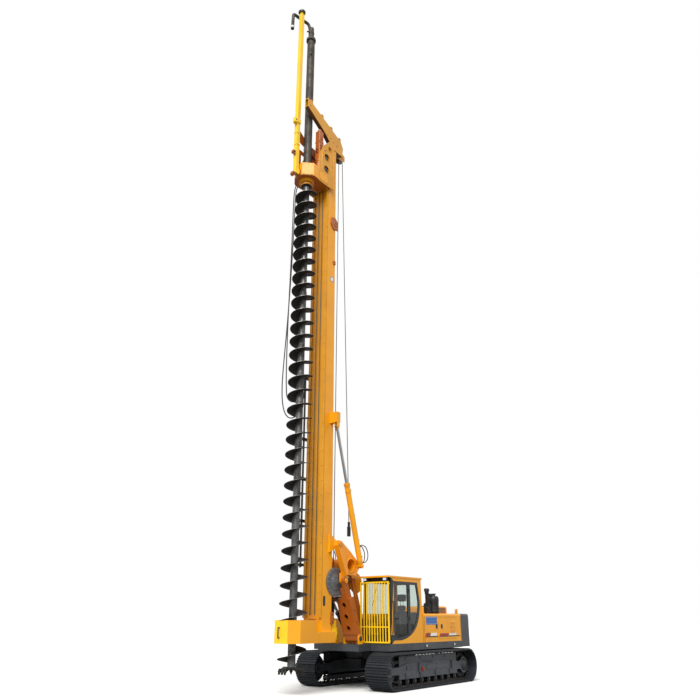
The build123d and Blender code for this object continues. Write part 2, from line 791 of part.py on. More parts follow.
link_head = (link_foot[0] + boom_head[0] - boom_foot[0], link_foot[1] + boom_head[1] - boom_foot[1])
with BuildPart() as links:
    for y in both(link_inner, link_outer):
        bar(link_foot, link_head, y, 80)
        for at in (link_foot, link_head):
            disc(at, y, pin_radius + pin_gap, Mode.SUBTRACT)
    beam(link_foot, link_head, link_plate_share, (-link_inner, link_inner), link_plate_half)
keep(links, "link_bars")

# Triangle frame: cheeks above the arms, joined by the torque tube
torque_tube = (2690, 3480)
torque_outer = 215
torque_inner = 190
cheek_outline = (
    (pivot[0] - 110, pivot[1] + 60), (pivot[0] + 60, pivot[1] + 90), (pivot[0] + 80, pivot[1] - 60),
    (boom_head[0] - 40, boom_head[1] + 150), (boom_head[0] - 120, boom_head[1] + 190),
    (link_head[0] + 60, link_head[1] + 10), (tilt_foot[0] - 60, tilt_foot[1] - 60),
    (tilt_foot[0] - 40, tilt_foot[1] + 90), (2700, 3880), (3160, 4170),
)
front_outline = (
    (pivot[0] - 110, pivot[1] + 60), (pivot[0] + 60, pivot[1] + 90), (pivot[0] + 80, pivot[1] - 60),
    (boom_head[0] - 40, boom_head[1] + 150), (boom_head[0] - 140, boom_head[1] + 210),
    (pivot[0] - 230, pivot[1] - 160),
)
frame_base = boom_head[1] + 230
with BuildPart() as triangle:
    for y in both(cheek_inner, cheek_outer):
        slab(cheek_outline, y)
        lug(boom_head, frame_base, y, 80)
        disc(torque_tube, y, torque_inner, Mode.SUBTRACT)
    for y in both(cheek_outer, arm_head_outer):
        slab(front_outline, y)
        disc(boom_head, y, pin_radius)
    # forks round the link bars
    for low, high in both(link_inner, link_outer):
        for y in ((low - side_gap - 20, low - side_gap), (high + side_gap, high + side_gap + 20)):
            bar(torque_tube, link_head, y, 80)
            disc(torque_tube, y, torque_outer - 1, Mode.SUBTRACT)
        disc(link_head, (low - side_gap - 20, high + side_gap + 20), pin_radius)
    disc(torque_tube, (-cheek_inner, cheek_inner), torque_outer)
    disc(torque_tube, (-cheek_inner - 1, cheek_inner + 1), torque_inner, Mode.SUBTRACT)
    # the aux winch hangs between two arms off the torque tube
    for y in both(aux_half + side_gap, aux_half + side_gap + 12):
        bar(torque_tube, aux_winch, y, 110)
        disc(torque_tube, y, torque_inner, Mode.SUBTRACT)
    for y in both(aux_half - 60, aux_half + side_gap + 1):
        disc(aux_winch, y, pin_radius)
    for y in both(cheek_outer - 1, tilt_y + 45 + side_gap):
        disc(tilt_foot, y, pin_radius)
    for y in both(tilt_y + 45 + side_gap, tilt_y + 45 + side_gap + 14):
        disc(tilt_foot, y, pin_radius + 22)
    for y in both(arm_head_outer + side_gap, arm_head_outer + side_gap + 14):
        disc(boom_head, y, pin_radius + 22)
    for y in both(arm_head_outer - 1, arm_head_outer + side_gap + 1):
        disc(boom_head, y, pin_radius)
    for y in both(cheek_inner - 1, arm_head_outer + 1):
        disc(pivot, y, pin_radius + pin_gap, Mode.SUBTRACT)
keep(triangle, "triangle_frame")


# Cylinders: each is drawn on the line from its foot to its eye
def round_bar(a, b, y, span, radius, mode=Mode.ADD):
    with BuildSketch(along(a, b, y, span[0])) as section:
        Circle(radius)
    extrude(section.sketch, amount=span[1] - span[0], mode=mode)


def barrel(foot, eye, y, length, radius, bore, shaft):
    share = (pin_radius + 65) / reach(foot, eye)
    bar(foot, between(foot, eye, share), (y - 45, y + 45), pin_radius + 25)
    round_bar(foot, eye, y, (pin_radius + 55, length), radius)
    round_bar(foot, eye, y, (length - 50, length), radius + 12)
    round_bar(foot, eye, y, (length * 0.2, length - 40), bore, Mode.SUBTRACT)
    round_bar(foot, eye, y, (length - 41, length + 1), shaft + pin_gap, Mode.SUBTRACT)
    disc(foot, (y - 46, y + 46), pin_radius + pin_gap, Mode.SUBTRACT)


def rod(foot, eye, y, start, radius, bore):
    length = reach(foot, eye)
    round_bar(foot, eye, y, (start, length - bore - 55), radius)
    bar(between(foot, eye, 1 - (bore + 65) / length), eye, (y - 35, y + 35), radius - 5)
    disc(eye, (y - 35, y + 35), bore + 32)
    disc(eye, (y - 36, y + 36), bore, Mode.SUBTRACT)


tilt_pin = 40
tilt_barrel = 2600
tilt_bore = 62
tilt_rod = 50
luff_barrel = 900
luff_bore = 52
luff_rod = 42
with BuildPart() as tilt_barrels:
    for y in (tilt_y, -tilt_y):
        barrel(tilt_foot, tilt_eye, y, tilt_barrel, 88, tilt_bore, tilt_rod)
keep(tilt_barrels, "mast_cylinder_barrels")

with BuildPart() as tilt_rods:
    for y in (tilt_y, -tilt_y):
        rod(tilt_foot, tilt_eye, y, 1500, tilt_rod, tilt_pin + eye_drift)
keep(tilt_rods, "mast_cylinder_rods")

with BuildPart() as luff_barrels:
    for y in (luff_y, -luff_y):
        barrel(luff_foot, luff_eye, y, luff_barrel, 72, luff_bore, luff_rod)
keep(luff_barrels, "luffing_cylinder_barrels")

with BuildPart() as luff_rods:
    for y in (luff_y, -luff_y):
        rod(luff_foot, luff_eye, y, 500, luff_rod, luff_tube + eye_drift)
keep(luff_rods, "luffing_cylinder_rods")

# Mast: a hollow box column with two rails on its front and its brackets
bracket_low = tilt_eye[1] + 130
with BuildPart() as mast:
    block((mast_rear_x, mast_front_x), (-mast_half_width, mast_half_width), (mast_bottom, mast_top))
    block(
        (mast_rear_x + mast_wall, mast_front_x - mast_wall),
        (-mast_half_width + mast_wall, mast_half_width - mast_wall),
        (mast_bottom - 1, mast_top - mast_wall), Mode.SUBTRACT,
    )
    # the winch drum stands in a recess
    recess = drum_flange + drum_room
    block(
        (mast_rear_x - 1, main_winch[0] + recess), (-mast_half_width - 1, mast_half_width + 1),
        (main_winch[1] - recess, main_winch[1] + recess), Mode.SUBTRACT,
    )
    # hinge lugs at the pivot
    for y in both(mast_half_width, cheek_inner - side_gap):
        slab(
            ((mast_rear_x + 180, pivot[1] - 260), (mast_rear_x + 180, pivot[1] + 260),
             (mast_rear_x, pivot[1] + 200), (pivot[0] - 90, pivot[1] + 60), (pivot[0] - 90, pivot[1] - 60),
             (mast_rear_x, pivot[1] - 200)), y,
        )
    for y in both(mast_half_width, arm_head_outer + side_gap + 14):
        disc(pivot, y, pin_radius)
    for y in both(arm_head_outer + side_gap, arm_head_outer + side_gap + 14):
        disc(pivot, y, pin_radius + 22)
    # brackets for the mast cylinders
    for y in both(mast_half_width, tilt_y + 62):
        block((mast_rear_x, mast_rear_x + 180), y, (bracket_low, bracket_low + 350))
    for y in both(tilt_y - 62, tilt_y - 42) + both(tilt_y + 42, tilt_y + 62):
        lug(tilt_eye, bracket_low + 20, y, 62)
    for y in both(tilt_y - 62, tilt_y + 62):
        disc(tilt_eye, y, tilt_pin)
    # end blocks of the feed ropes
    for z in ((guide_top + 30, guide_top + 130), (mast_top - 200, mast_top - 100)):
        block((mast_front_x, mast_front_x + 50), (-130, 130), z)
keep(mast, "mast_column")

rail_y = mast_half_width - rail_width / 2
rail_web = 50
rail_step = 30
with BuildPart() as rails:
    for sign in (1, -1):
        y = sign * rail_y
        z = (guide_top + 60, mast_top - 100)
        block((mast_front_x, mast_front_x + rail_step), (y - rail_web / 2, y + rail_web / 2), z)
        flange_x = (mast_front_x + rail_step, mast_front_x + rail_depth)
        block(flange_x, (y - rail_width / 2, y + rail_width / 2), z)
keep(rails, "mast_rails")

# Guide frame at the foot of the mast
guide_rear_x = 3420
guide_half_width = 500
with BuildPart() as guide:
    outline = (
        (guide_rear_x, -guide_half_width), (guide_front_x - 250, -guide_half_width), (guide_front_x, -250),
        (guide_front_x, 250), (guide_front_x - 250, guide_half_width), (guide_rear_x, guide_half_width),
    )
    # the whole outline at the lower height, and its front at the full height
    for plan_rear_x, high in ((guide_rear_x, guide_step), (guide_step_x, guide_top)):
        with BuildSketch(level(guide_bottom)) as plan:
            with BuildLine():
                Polyline(*outline, close=True)
            make_face()
            with Locations((plan_rear_x - 1000, 0)):
                Rectangle(2000, 2000, mode=Mode.SUBTRACT)
        extrude(plan.sketch, amount=high - guide_bottom)
        with BuildSketch(level(guide_bottom + guide_plate)) as cavity:
            add(plan.sketch.moved(Location((0, 0, -guide_bottom))))
            offset(amount=-guide_plate, kind=Kind.INTERSECTION, mode=Mode.REPLACE)
            with Locations((auger_x, 0)):
                Circle(guide_bore + guide_plate, mode=Mode.SUBTRACT)
        extrude(cavity.sketch, amount=high - guide_bottom - 2 * guide_plate, mode=Mode.SUBTRACT)
    with BuildSketch(level(guide_bottom)) as bore:
        with Locations((auger_x, 0)):
            Circle(guide_bore)
    extrude(bore.sketch, amount=guide_top - guide_bottom, mode=Mode.SUBTRACT)
    block(
        (mast_rear_x - pin_gap, mast_front_x + pin_gap),
        (-mast_half_width - pin_gap, mast_half_width + pin_gap),
        (mast_bottom, guide_top + 1), Mode.SUBTRACT,
    )
keep(guide, "guide_frame")

with BuildPart() as crowd:
    # between the arms it reaches further back than beside them
    block((3000, 3131), (15 - arm_inner, arm_inner - 15), (guide_bottom + 60, 1720))
    block((3130, guide_rear_x), (-280, 280), (guide_bottom + 60, 1720))
    block((3150, guide_rear_x - 90), (60, 280), (1720, 1900))
    disc((3265, 1560), (-330, 330), 120)
keep(crowd, "crowd_drive")

# Cathead: a base on the mast, an arm on the left over the head and sheaves at the rear
sheave_radius = 200
sheave_one = (3205, mast_top + 240)
sheave_two = (2840, mast_top + 210)
sheave_front = (5050, mast_top + 1250)
arm_outline = (
    (arm_front_x, 20600), (arm_front_x, 20190), (4180, 19590), (3640, mast_top), (3100, mast_top),
    (3040, 19520), (3200, 19790),
)
rear_outline = (
    (mast_rear_x, mast_top), (mast_rear_x + 100, mast_top + 420), (2900, mast_top + 440),
    (2700, mast_top + 330), (2700, mast_top + 80), (2900, mast_top),
)
rope_one_y = 120
rope_two_y = 0
with BuildPart() as cathead:
    block((mast_rear_x, mast_front_x), (-mast_half_width, arm_high_y), (mast_top, mast_top + 220))
    block(
        (mast_rear_x + 30, mast_front_x - 30), (-mast_half_width + 30, arm_low_y - 30),
        (mast_top - 1, mast_top + 190), Mode.SUBTRACT,
    )
    slab(arm_outline, (arm_low_y, arm_high_y))
    slab(
        ((arm_front_x + 1, 20560), (arm_front_x + 1, 20230), (4180, 19630), (3900, 19360), (3500, 19360),
         (3500, 19870)), (arm_low_y + 20, arm_high_y - 20), Mode.SUBTRACT,
    )
    for y in ((rope_one_y + 45, rope_one_y + 65), (rope_two_y - 65, rope_two_y - 45)):
        slab(rear_outline, y)
    for at in (sheave_one, sheave_two):
        disc(at, (rope_two_y - 50, rope_one_y + 50), 35)
    disc(sheave_front, (arm_low_y + 1, arm_high_y - 1), 35)
keep(cathead, "cathead")

with BuildPart() as sheaves:
    for at, y in ((sheave_one, rope_one_y), (sheave_two, rope_two_y)):
        disc(at, (y - 22, y + 22), sheave_radius)
        disc(at, (y - 23, y + 23), 35 + pin_gap, Mode.SUBTRACT)
    y = (arm_low_y + arm_high_y) / 2
    disc(sheave_front, (y - 22, y + 22), 105)
    disc(sheave_front, (y - 23, y + 23), 35 + pin_gap, Mode.SUBTRACT)
keep(sheaves, "cathead_sheaves")

# Main winch on the back of the mast
with BuildPart() as winch_discs:
    for y in both(mast_half_width, mast_half_width + 30):
        disc(main_winch, y, main_flange)
    for y in both(mast_half_width - 70, mast_half_width + 70):
        disc(main_winch, y, winch_hub)
    for y in both(mast_half_width + 29, mast_half_width + 50):
        disc(main_winch, y, 2 * winch_hub)
keep(winch_discs, "main_winch_frame")

with BuildPart() as main_drum:
    disc(main_winch, (-main_half, main_half), layer_radius)
    for y in both(main_half - flange_plate, main_half):
        disc(main_winch, y, drum_flange)
    for y in both(mast_half_width - 90, main_half + 1):
        disc(main_winch, y, winch_hub + pin_gap, Mode.SUBTRACT)
keep(main_drum, "main_winch_drum")

with BuildPart() as aux_drum:
    disc(aux_winch, (-aux_half, aux_half), aux_core)
    for y in both(aux_half - flange_plate, aux_half):
        disc(aux_winch, y, aux_flange)
    for y in both(aux_half - 80, aux_half + 1):
        disc(aux_winch, y, pin_radius + pin_gap, Mode.SUBTRACT)
keep(aux_drum, "aux_winch_drum")

# Ropes that stand taut on the mast
rope_one_top = (sheave_one[0] - sheave_radius - rope_radius - pin_gap, sheave_one[1])
rope_one_low = (main_winch[0] - layer_radius - rope_radius - pin_gap, main_winch[1])
feed_rope_x = mast_front_x + 28
hook_top = 4900
rope_two_top = (sheave_two[0] - sheave_radius - rope_radius - pin_gap, sheave_two[1])
rope_two_low = (2165, hook_top)
with BuildPart() as ropes:
    with BuildSketch(level(guide_top + 130)) as section:
        with Locations((feed_rope_x, 90), (feed_rope_x, -90)):
            Circle(rope_radius)
    extrude(section.sketch, amount=mast_top - 200 - guide_top - 130)
    round_bar(rope_one_top, rope_one_low, rope_one_y, (0, reach(rope_one_top, rope_one_low)), rope_radius)
    round_bar(rope_two_top, rope_two_low, rope_two_y, (0, reach(rope_two_top, rope_two_low)), rope_radius)
keep(ropes, "mast_ropes")

with BuildPart() as hook:
    block((2165 - 30, 2165 + 30), (-30, 30), (hook_top - 160, hook_top - 1))
    with BuildSketch(level(hook_top - 460)) as weight:
        with Locations((2165, 0)):
            Circle(60)
    extrude(weight.sketch, amount=300)
keep(hook, "aux_hook")

# Hoses: straight pipes held on the mast's right side, and free loops up to the head
with BuildPart() as holders:
    for z in (hose_clamp_z, 7400, 6080, 4760, hose_pipe_low + 40):
        block((3620, 3700), (-540, -mast_half_width), (z, z + 80))
        block((3620, 3965), (-605, -505), (z, z + 80))
    for y in hose_pipe_y:
        with BuildSketch(level(hose_pipe_low)) as section:
            with Locations((hose_pipe_x, y)):
                Circle(hose_pipe_radius)
        extrude(section.sketch, amount=hose_clamp_z - hose_pipe_low)
keep(holders, "mast_pipes")

for route_name, points in (("outer_head_hose", outer_hose_route), ("inner_head_hose", inner_hose_route)):
    corners = [Vector(*point) for point in points]
    radii = []
    for before, at, after in zip(corners, corners[1:], corners[2:]):
        half_turn = (at - before).get_angle(after - at) / 2 * pi / 180
        radii.append(0.45 * min((at - before).length, (after - at).length) / tan(half_turn))
    with BuildPart() as hose:
        with BuildLine() as route:
            FilletPolyline(*points, radius=radii)
        with BuildSketch(Plane(origin=route.wires()[0] @ 0, z_dir=route.wires()[0] % 0)) as section:
            Circle(hose_radius)
        sweep(section.sketch, path=route.wires()[0])
    length = route.wires()[0].length
    print(route_name, "length", round(length), "smallest radius", round(min(radii)))
    print("volume over section times length", round(hose.part.volume / (pi * hose_radius ** 2 * length), 4))
    keep(hose, route_name)

# Rotary head: carriage, gearbox, motors, pole and gooseneck
claw_gap = 6
shoe_gap = 0.5
carriage_half = 435
carriage_outline = (
    (carriage_rear_x, head_bottom), (carriage_front_x, head_bottom), (carriage_front_x, 18300), (4330, 18800),
    (4000, carriage_top), (carriage_rear_x, carriage_top),
)
with BuildPart() as carriage:
    for y in both(carriage_half, carriage_half + carriage_plate):
        slab(carriage_outline, y)
        # hole's X and Z, radius
        for at, radius in (((4150, 17780), 150), ((4130, 18350), 150), ((3960, 18850), 100)):
            disc(at, y, radius, Mode.SUBTRACT)
    back_x = mast_front_x + rail_depth + claw_gap + 30
    back_y = (-carriage_half - 1, carriage_half + 1)
    block((back_x, back_x + carriage_plate), back_y, (head_bottom, mast_top - 60))
    back_hole_z = (head_top + 150, mast_top - 250)
    block((back_x - 1, back_x + carriage_plate + 1), (-300, 300), back_hole_z, Mode.SUBTRACT)
    for z in ((head_bottom, head_bottom + 350), (mast_top - 420, mast_top - 70)):
        for y in both(rail_y - 40, rail_y + 40):
            block((mast_front_x + rail_depth + shoe_gap, back_x + 1), y, z)
        for y in both(rail_y + rail_web / 2 + claw_gap, carriage_half + 1):
            block((mast_front_x + claw_gap, mast_front_x + rail_step - claw_gap), y, z)
    # the hoses' block on the right side plate
    block((4255, 4430), (-hose_block_y, 1 - carriage_half - carriage_plate), (17570, 17670))
keep(carriage, "head_carriage")

head_plan = (
    (back_x + carriage_plate, -430), (4700, -head_half_width), (head_front_x - 310, -head_half_width),
    (head_front_x, -170), (head_front_x, 170), (head_front_x - 310, head_half_width), (4700, head_half_width),
    (back_x + carriage_plate, 430),
)
with BuildPart() as gearbox:
    with BuildSketch(level(head_bottom)) as plan:
        with BuildLine():
            Polyline(*head_plan, close=True)
        make_face()
    extrude(plan.sketch, amount=head_top - head_bottom)
    block((4000, 5040), (-380, 380), (head_bottom + 40, head_top - 40), Mode.SUBTRACT)
    with BuildSketch(level(head_bottom - 110)) as neck:
        with Locations((auger_x, 0)):
            Circle(head_ring)
    extrude(neck.sketch, amount=head_top - head_bottom + 110)
    for y in both(carriage_half, carriage_half + carriage_plate + 100):
        block((carriage_rear_x - 1, carriage_front_x), y, (head_bottom - 1, head_top + 1), Mode.SUBTRACT)
    with BuildSketch(level(head_bottom - 111)) as bore:
        with Locations((auger_x, 0)):
            Circle(tube_radius + pin_gap)
    extrude(bore.sketch, amount=head_top - head_bottom + 112, mode=Mode.SUBTRACT)
keep(gearbox, "head_gearbox")

with BuildPart() as motors:
    for y in (305, -305):
        with BuildSketch(level(head_top)) as foot:
            with Locations((4410, y)):
                Circle(118)
        extrude(foot.sketch, amount=motor_foot)
        block((4295, 4525), (y - 112, y + 112), (head_top + motor_foot, head_top + motor_top))
    fillet(motors.edges().filter_by(Axis.Z), 25)
keep(motors, "head_motors")

with BuildPart() as pole:
    half = pole_side / 2
    block((pole_x - half, pole_x + half), (-half, half), (head_bottom, pole_top))
    half -= pole_wall
    block((pole_x - half, pole_x + half), (-half, half), (head_bottom - 1, pole_top - pole_wall), Mode.SUBTRACT)
    block((head_front_x, pole_x - pole_side / 2), (-110, 110), (head_bottom + 20, head_bottom + 220))
    arm_y = (-tube_radius - 35, -tube_radius - 15)
    for z in ((18300, 18480), (18850, 19030)):
        block((back_x + carriage_plate, pole_x - pole_side / 2 + 1), arm_y, z)
        block((pole_x - pole_side / 2 - 20, pole_x - pole_side / 2), (arm_y[0], 0), z)
keep(pole, "head_pole")

swivel_z = tube_top + 6
neck_front_x = auger_x + 940
coupling_low = swivel_z - 86
with BuildPart() as neck:
    with BuildSketch(level(swivel_z)) as section:
        with Locations((auger_x, 0)):
            Circle(110)
    extrude(section.sketch, amount=620)
    with BuildLine() as route:
        FilletPolyline(
            (auger_x, 0, swivel_z + 300), (auger_x + 120, -60, swivel_z + 830),
            (auger_x + 560, neck_y, swivel_z + 870), (neck_front_x - 20, neck_y, swivel_z + 780),
            (neck_front_x, neck_y, coupling_low + 20), radius=(150, 220, 160),
        )
    with BuildSketch(Plane(origin=route.wires()[0] @ 0, z_dir=route.wires()[0] % 0)) as pipe:
        RegularPolygon(neck_radius, neck_sides)
    sweep(pipe.sketch, path=route.wires()[0])
    with BuildSketch(level(coupling_low)) as collar:
        with Locations((neck_front_x, neck_y)):
            Circle(72)
    extrude(collar.sketch, amount=160)
    block((pole_x - 100, pole_x + 60), (neck_y + 40, -pole_side / 2), (swivel_z + 760, swivel_z + 860))
keep(neck, "gooseneck")

# Auger: pipe, flights and bit
facet = 2 * pi / flight_steps
with BuildPart() as auger:
    with BuildSketch(level(bit_joint)) as section:
        with Locations((auger_x, 0)):
            RegularPolygon(auger_pipe, flight_steps)
            Circle(auger_bore, mode=Mode.SUBTRACT)
    extrude(section.sketch, amount=coupling_z - bit_joint)


def flight_ring(turn):
    """Four corners of the flight at an angle, as inner and outer, low and high."""
    z = flight_zero + flight_pitch * turn / (2 * pi)
    inner = (auger_x + auger_pipe * cos(turn), auger_pipe * sin(turn))
    outer = (auger_x + auger_radius * cos(turn), auger_radius * sin(turn))
    return [Vector(*point, height) for point in (inner, outer) for height in (z, z + flight_plate)]


def flat(*corners):
    return Face(Wire.make_polygon(corners, close=True))


faces = []
steps = range(flight_start, flight_steps * flight_turns)
for step in steps:
    a, A, b, B = flight_ring(step * facet)
    c, C, d, D = flight_ring((step + 1) * facet)
    faces += [flat(a, b, d), flat(a, d, c), flat(A, D, B), flat(A, C, D), flat(b, B, D, d), flat(a, c, C, A)]
for step in (steps[0], steps[-1] + 1):
    a, A, b, B = flight_ring(step * facet)
    faces.append(flat(a, A, B, b))
flights = Solid(Shell(faces))
with BuildPart() as auger_all:
    add(auger.part)
    add(flights)
keep(auger_all, "auger")

with BuildPart() as tube:
    with BuildSketch(level(coupling_z)) as section:
        with Locations((auger_x, 0)):
            Circle(tube_radius)
            Circle(tube_bore, mode=Mode.SUBTRACT)
    extrude(section.sketch, amount=tube_top - coupling_z)
    with BuildSketch(level(tube_top - 110)) as collar:
        with Locations((auger_x, 0)):
            Circle(195)
            Circle(tube_radius - 1, mode=Mode.SUBTRACT)
    extrude(collar.sketch, amount=110)
    with BuildSketch(level(coupling_z)) as coupling:
        with Locations((auger_x, 0)):
            Circle(200)
            Circle(auger_bore, mode=Mode.SUBTRACT)
    extrude(coupling.sketch, amount=coupling_high)
keep(tube, "auger_drive_tube")

with BuildPart() as bit:
    with BuildSketch(level(bit_bottom + 150)) as body:
        with Locations((auger_x, 0)):
            Circle(auger_pipe + 20)
    extrude(body.sketch, amount=bit_joint - bit_bottom - 150)
    for sign in (1, -1):
        low, high = sorted((sign * 60, sign * (auger_radius - 5)))
        block((auger_x - 45, auger_x + 45), (low, high), (bit_bottom + 110, bit_bottom + 190))
        for reach_y in (120, 220, 320, 390):
            slab(
                ((auger_x - 30 * sign, bit_bottom + 120), (auger_x + 30 * sign, bit_bottom + 120),
                 (auger_x + 60 * sign, bit_bottom), (auger_x + 30 * sign, bit_bottom)),
                sorted((sign * reach_y - 15, sign * reach_y + 15)),
            )
keep(bit, "auger_bit")
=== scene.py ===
import bpy
import bmesh
import json
from math import atan2, cos, hypot, pi, radians, sin
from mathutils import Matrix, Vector

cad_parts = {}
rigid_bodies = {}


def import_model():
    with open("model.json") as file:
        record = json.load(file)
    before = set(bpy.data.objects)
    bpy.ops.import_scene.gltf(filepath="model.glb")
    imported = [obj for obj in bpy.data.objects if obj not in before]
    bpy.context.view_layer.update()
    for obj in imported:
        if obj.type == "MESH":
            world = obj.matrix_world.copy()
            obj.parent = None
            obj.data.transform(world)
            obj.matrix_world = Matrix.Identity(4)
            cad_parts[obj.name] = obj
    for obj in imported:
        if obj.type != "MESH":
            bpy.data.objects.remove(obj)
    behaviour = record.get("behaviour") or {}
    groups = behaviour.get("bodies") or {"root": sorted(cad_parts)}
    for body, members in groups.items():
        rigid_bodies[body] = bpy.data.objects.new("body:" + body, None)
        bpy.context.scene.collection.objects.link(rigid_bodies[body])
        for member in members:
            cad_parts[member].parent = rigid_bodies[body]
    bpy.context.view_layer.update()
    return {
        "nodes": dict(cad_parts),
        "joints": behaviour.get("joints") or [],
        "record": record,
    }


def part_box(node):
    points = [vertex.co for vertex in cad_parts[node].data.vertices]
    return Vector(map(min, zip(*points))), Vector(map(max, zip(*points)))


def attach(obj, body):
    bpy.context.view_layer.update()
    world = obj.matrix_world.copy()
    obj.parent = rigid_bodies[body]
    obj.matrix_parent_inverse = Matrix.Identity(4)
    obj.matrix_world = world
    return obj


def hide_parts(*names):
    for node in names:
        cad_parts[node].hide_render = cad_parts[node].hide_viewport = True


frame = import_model()
print("frame loaded")
scene = bpy.context.scene


# Colours are written as sRGB hex and turned to linear here
def linear(text):
    channels = [int(text[i:i + 2], 16) / 255 for i in (0, 2, 4)]
    return tuple(c / 12.92 if c <= 0.04045 else ((c + 0.055) / 1.055) ** 2.4 for c in channels) + (1.0,)


# Adds a node, fills its inputs with values or links, and gives the wanted output
def addNode(tree, kind, inputs=None, out=0, **settings):
    node = tree.nodes.new("ShaderNode" + kind)
    for key, value in settings.items():
        setattr(node, key, value)
    for key, value in (inputs or {}).items():
        if isinstance(value, bpy.types.NodeSocket):
            tree.links.new(value, node.inputs[key])
        else:
            node.inputs[key].default_value = value
    return node.outputs[out] if node.outputs else node


def newMaterial(name):
    material = bpy.data.materials.new(name)
    material.use_nodes = True
    material.node_tree.nodes.clear()
    place = addNode(material.node_tree, "TexCoord", out="Object")
    return material, material.node_tree, place


def closeMaterial(material, shader):
    addNode(material.node_tree, "OutputMaterial", {"Surface": shader})
    return material


# Cloudy patches about this many millimetres across: 0 below the low level, 1 above the high one
def patches(tree, place, sizeMm, low, high, detail=4, roughness=0.5):
    cloud = {"Vector": place, "Scale": 1000 / sizeMm, "Detail": detail, "Roughness": roughness}
    noise = addNode(tree, "TexNoise", cloud)
    return addNode(tree, "MapRange", {"Value": noise, "From Min": low, "From Max": high})


# Fine grain with this size and depth in millimetres, for the Normal input
def grain(tree, place, sizeMm, depthMm, strength=0.5, normal=None, detail=2, roughness=0.5):
    pattern = {"Vector": place, "Scale": 1000 / sizeMm, "Detail": detail, "Roughness": roughness}
    inputs = {"Height": addNode(tree, "TexNoise", pattern), "Strength": strength, "Distance": depthMm / 1000}
    if normal is not None:
        inputs["Normal"] = normal
    return addNode(tree, "Bump", inputs)


# 1 along sharp edges, from how far the rounded normal leaves the true one
def sharpEdges(tree, radiusMm):
    rounded = addNode(tree, "Bevel", {"Radius": radiusMm / 1000}, samples=4)
    true = addNode(tree, "NewGeometry", out="Normal")
    alike = addNode(tree, "VectorMath", {0: rounded, 1: true}, "Value", operation="DOT_PRODUCT")
    apart = addNode(tree, "Math", {0: 1.0, 1: alike}, operation="SUBTRACT")
    return addNode(tree, "MapRange", {"Value": apart, "From Min": 0.02, "From Max": 0.25})


# Lays a colour over the base, as strongly as its shares multiply to
def layOver(tree, base, colour, *shares):
    factor = shares[0]
    for share in shares[1:]:
        factor = addNode(tree, "Math", {0: factor, 1: share}, operation="MULTIPLY")
    return addNode(tree, "Mix", {0: factor, 6: base, 7: linear(colour)}, 2, data_type="RGBA")


# Blender's wave repeats every pi / 10 metres at a scale of 1
def bandScale(spacingMm):
    return 1000 * pi / 10 / spacingMm


# Machine enamel, sprayed: a satin coat with faint clouds and orange peel, dusty low down, rubbed at the edges
enamelLook = {
    "cloudMm": 900, "cloudShare": 0.35, "grimeMm": 260, "dustColour": "8a7a63", "dustFull": 0.2,
    "dustNone": 2.2, "scratchMm": 35, "edgeMm": 5, "peelMm": 7, "peelDepthMm": 0.12, "peelStrength": 0.35,
    "roundMm": 5, "glossSpread": (-0.05, 0.16), "coat": 0.05, "coatRoughness": 0.2, "ior": 1.5,
}


def paintedSteel(name, colour, worn, roughness=0.40, dust=0.15, edge=0.35):
    look = enamelLook
    material, tree, place = newMaterial(name)
    clouds = patches(tree, place, look["cloudMm"], 0.35, 0.7)
    base = layOver(tree, linear(colour), worn, clouds, look["cloudShare"])
    height = addNode(tree, "SeparateXYZ", {"Vector": place}, "Z")
    low = addNode(tree, "MapRange", {
        "Value": height, "From Min": look["dustFull"], "From Max": look["dustNone"], "To Min": 1.0,
        "To Max": 0.0,
    })
    grime = patches(tree, place, look["grimeMm"], 0.45, 0.75, 6, 0.65)
    base = layOver(tree, base, look["dustColour"], low, grime, dust)
    scratches = patches(tree, place, look["scratchMm"], 0.5, 0.62, 5, 0.7)
    base = layOver(tree, base, worn, sharpEdges(tree, look["edgeMm"]), scratches, edge)
    dull, duller = look["glossSpread"]
    rough = addNode(tree, "MapRange", {
        "Value": grime, "From Min": 0.3, "From Max": 0.8, "To Min": roughness + dull,
        "To Max": roughness + duller,
    })
    rounded = addNode(tree, "Bevel", {"Radius": look["roundMm"] / 1000}, samples=4)
    peel = grain(tree, place, look["peelMm"], look["peelDepthMm"], look["peelStrength"], rounded)
    return closeMaterial(material, addNode(tree, "BsdfPrincipled", {
        "Base Color": base, "Roughness": rough, "Normal": peel, "IOR": look["ior"],
        "Coat Weight": look["coat"], "Coat Roughness": look["coatRoughness"], "Coat IOR": look["ior"],
    }))


# Steel without paint, rolled, cast or plated: scale and rust in blotches, brighter edges, a coarse grain
steelLook = {"edgeMm": 6, "roundMm": 3, "grainMm": 6, "dulling": 0.2}


def bareSteel(name, colour, second, roughness, metallic, blotchMm, grainDepthMm, edge, bright="8d8b88"):
    look = steelLook
    material, tree, place = newMaterial(name)
    blotches = patches(tree, place, blotchMm, 0.4, 0.65, 6, 0.65)
    base = layOver(tree, linear(colour), second, blotches)
    base = layOver(tree, base, bright, sharpEdges(tree, look["edgeMm"]), edge)
    rough = addNode(tree, "MapRange", {
        "Value": blotches, "To Min": roughness, "To Max": roughness + look["dulling"],
    })
    rounded = addNode(tree, "Bevel", {"Radius": look["roundMm"] / 1000}, samples=4)
    normal = grain(tree, place, look["grainMm"], grainDepthMm, 0.5, rounded, 5, 0.6)
    return closeMaterial(material, addNode(tree, "BsdfPrincipled", {
        "Base Color": base, "Roughness": rough, "Metallic": metallic, "Normal": normal,
    }))


# Float glass, tinted and tempered: clear, with faint smears in its mirroring
glassLook = {"ior": 1.5, "smearMm": 180, "smearRoughness": 0.05}


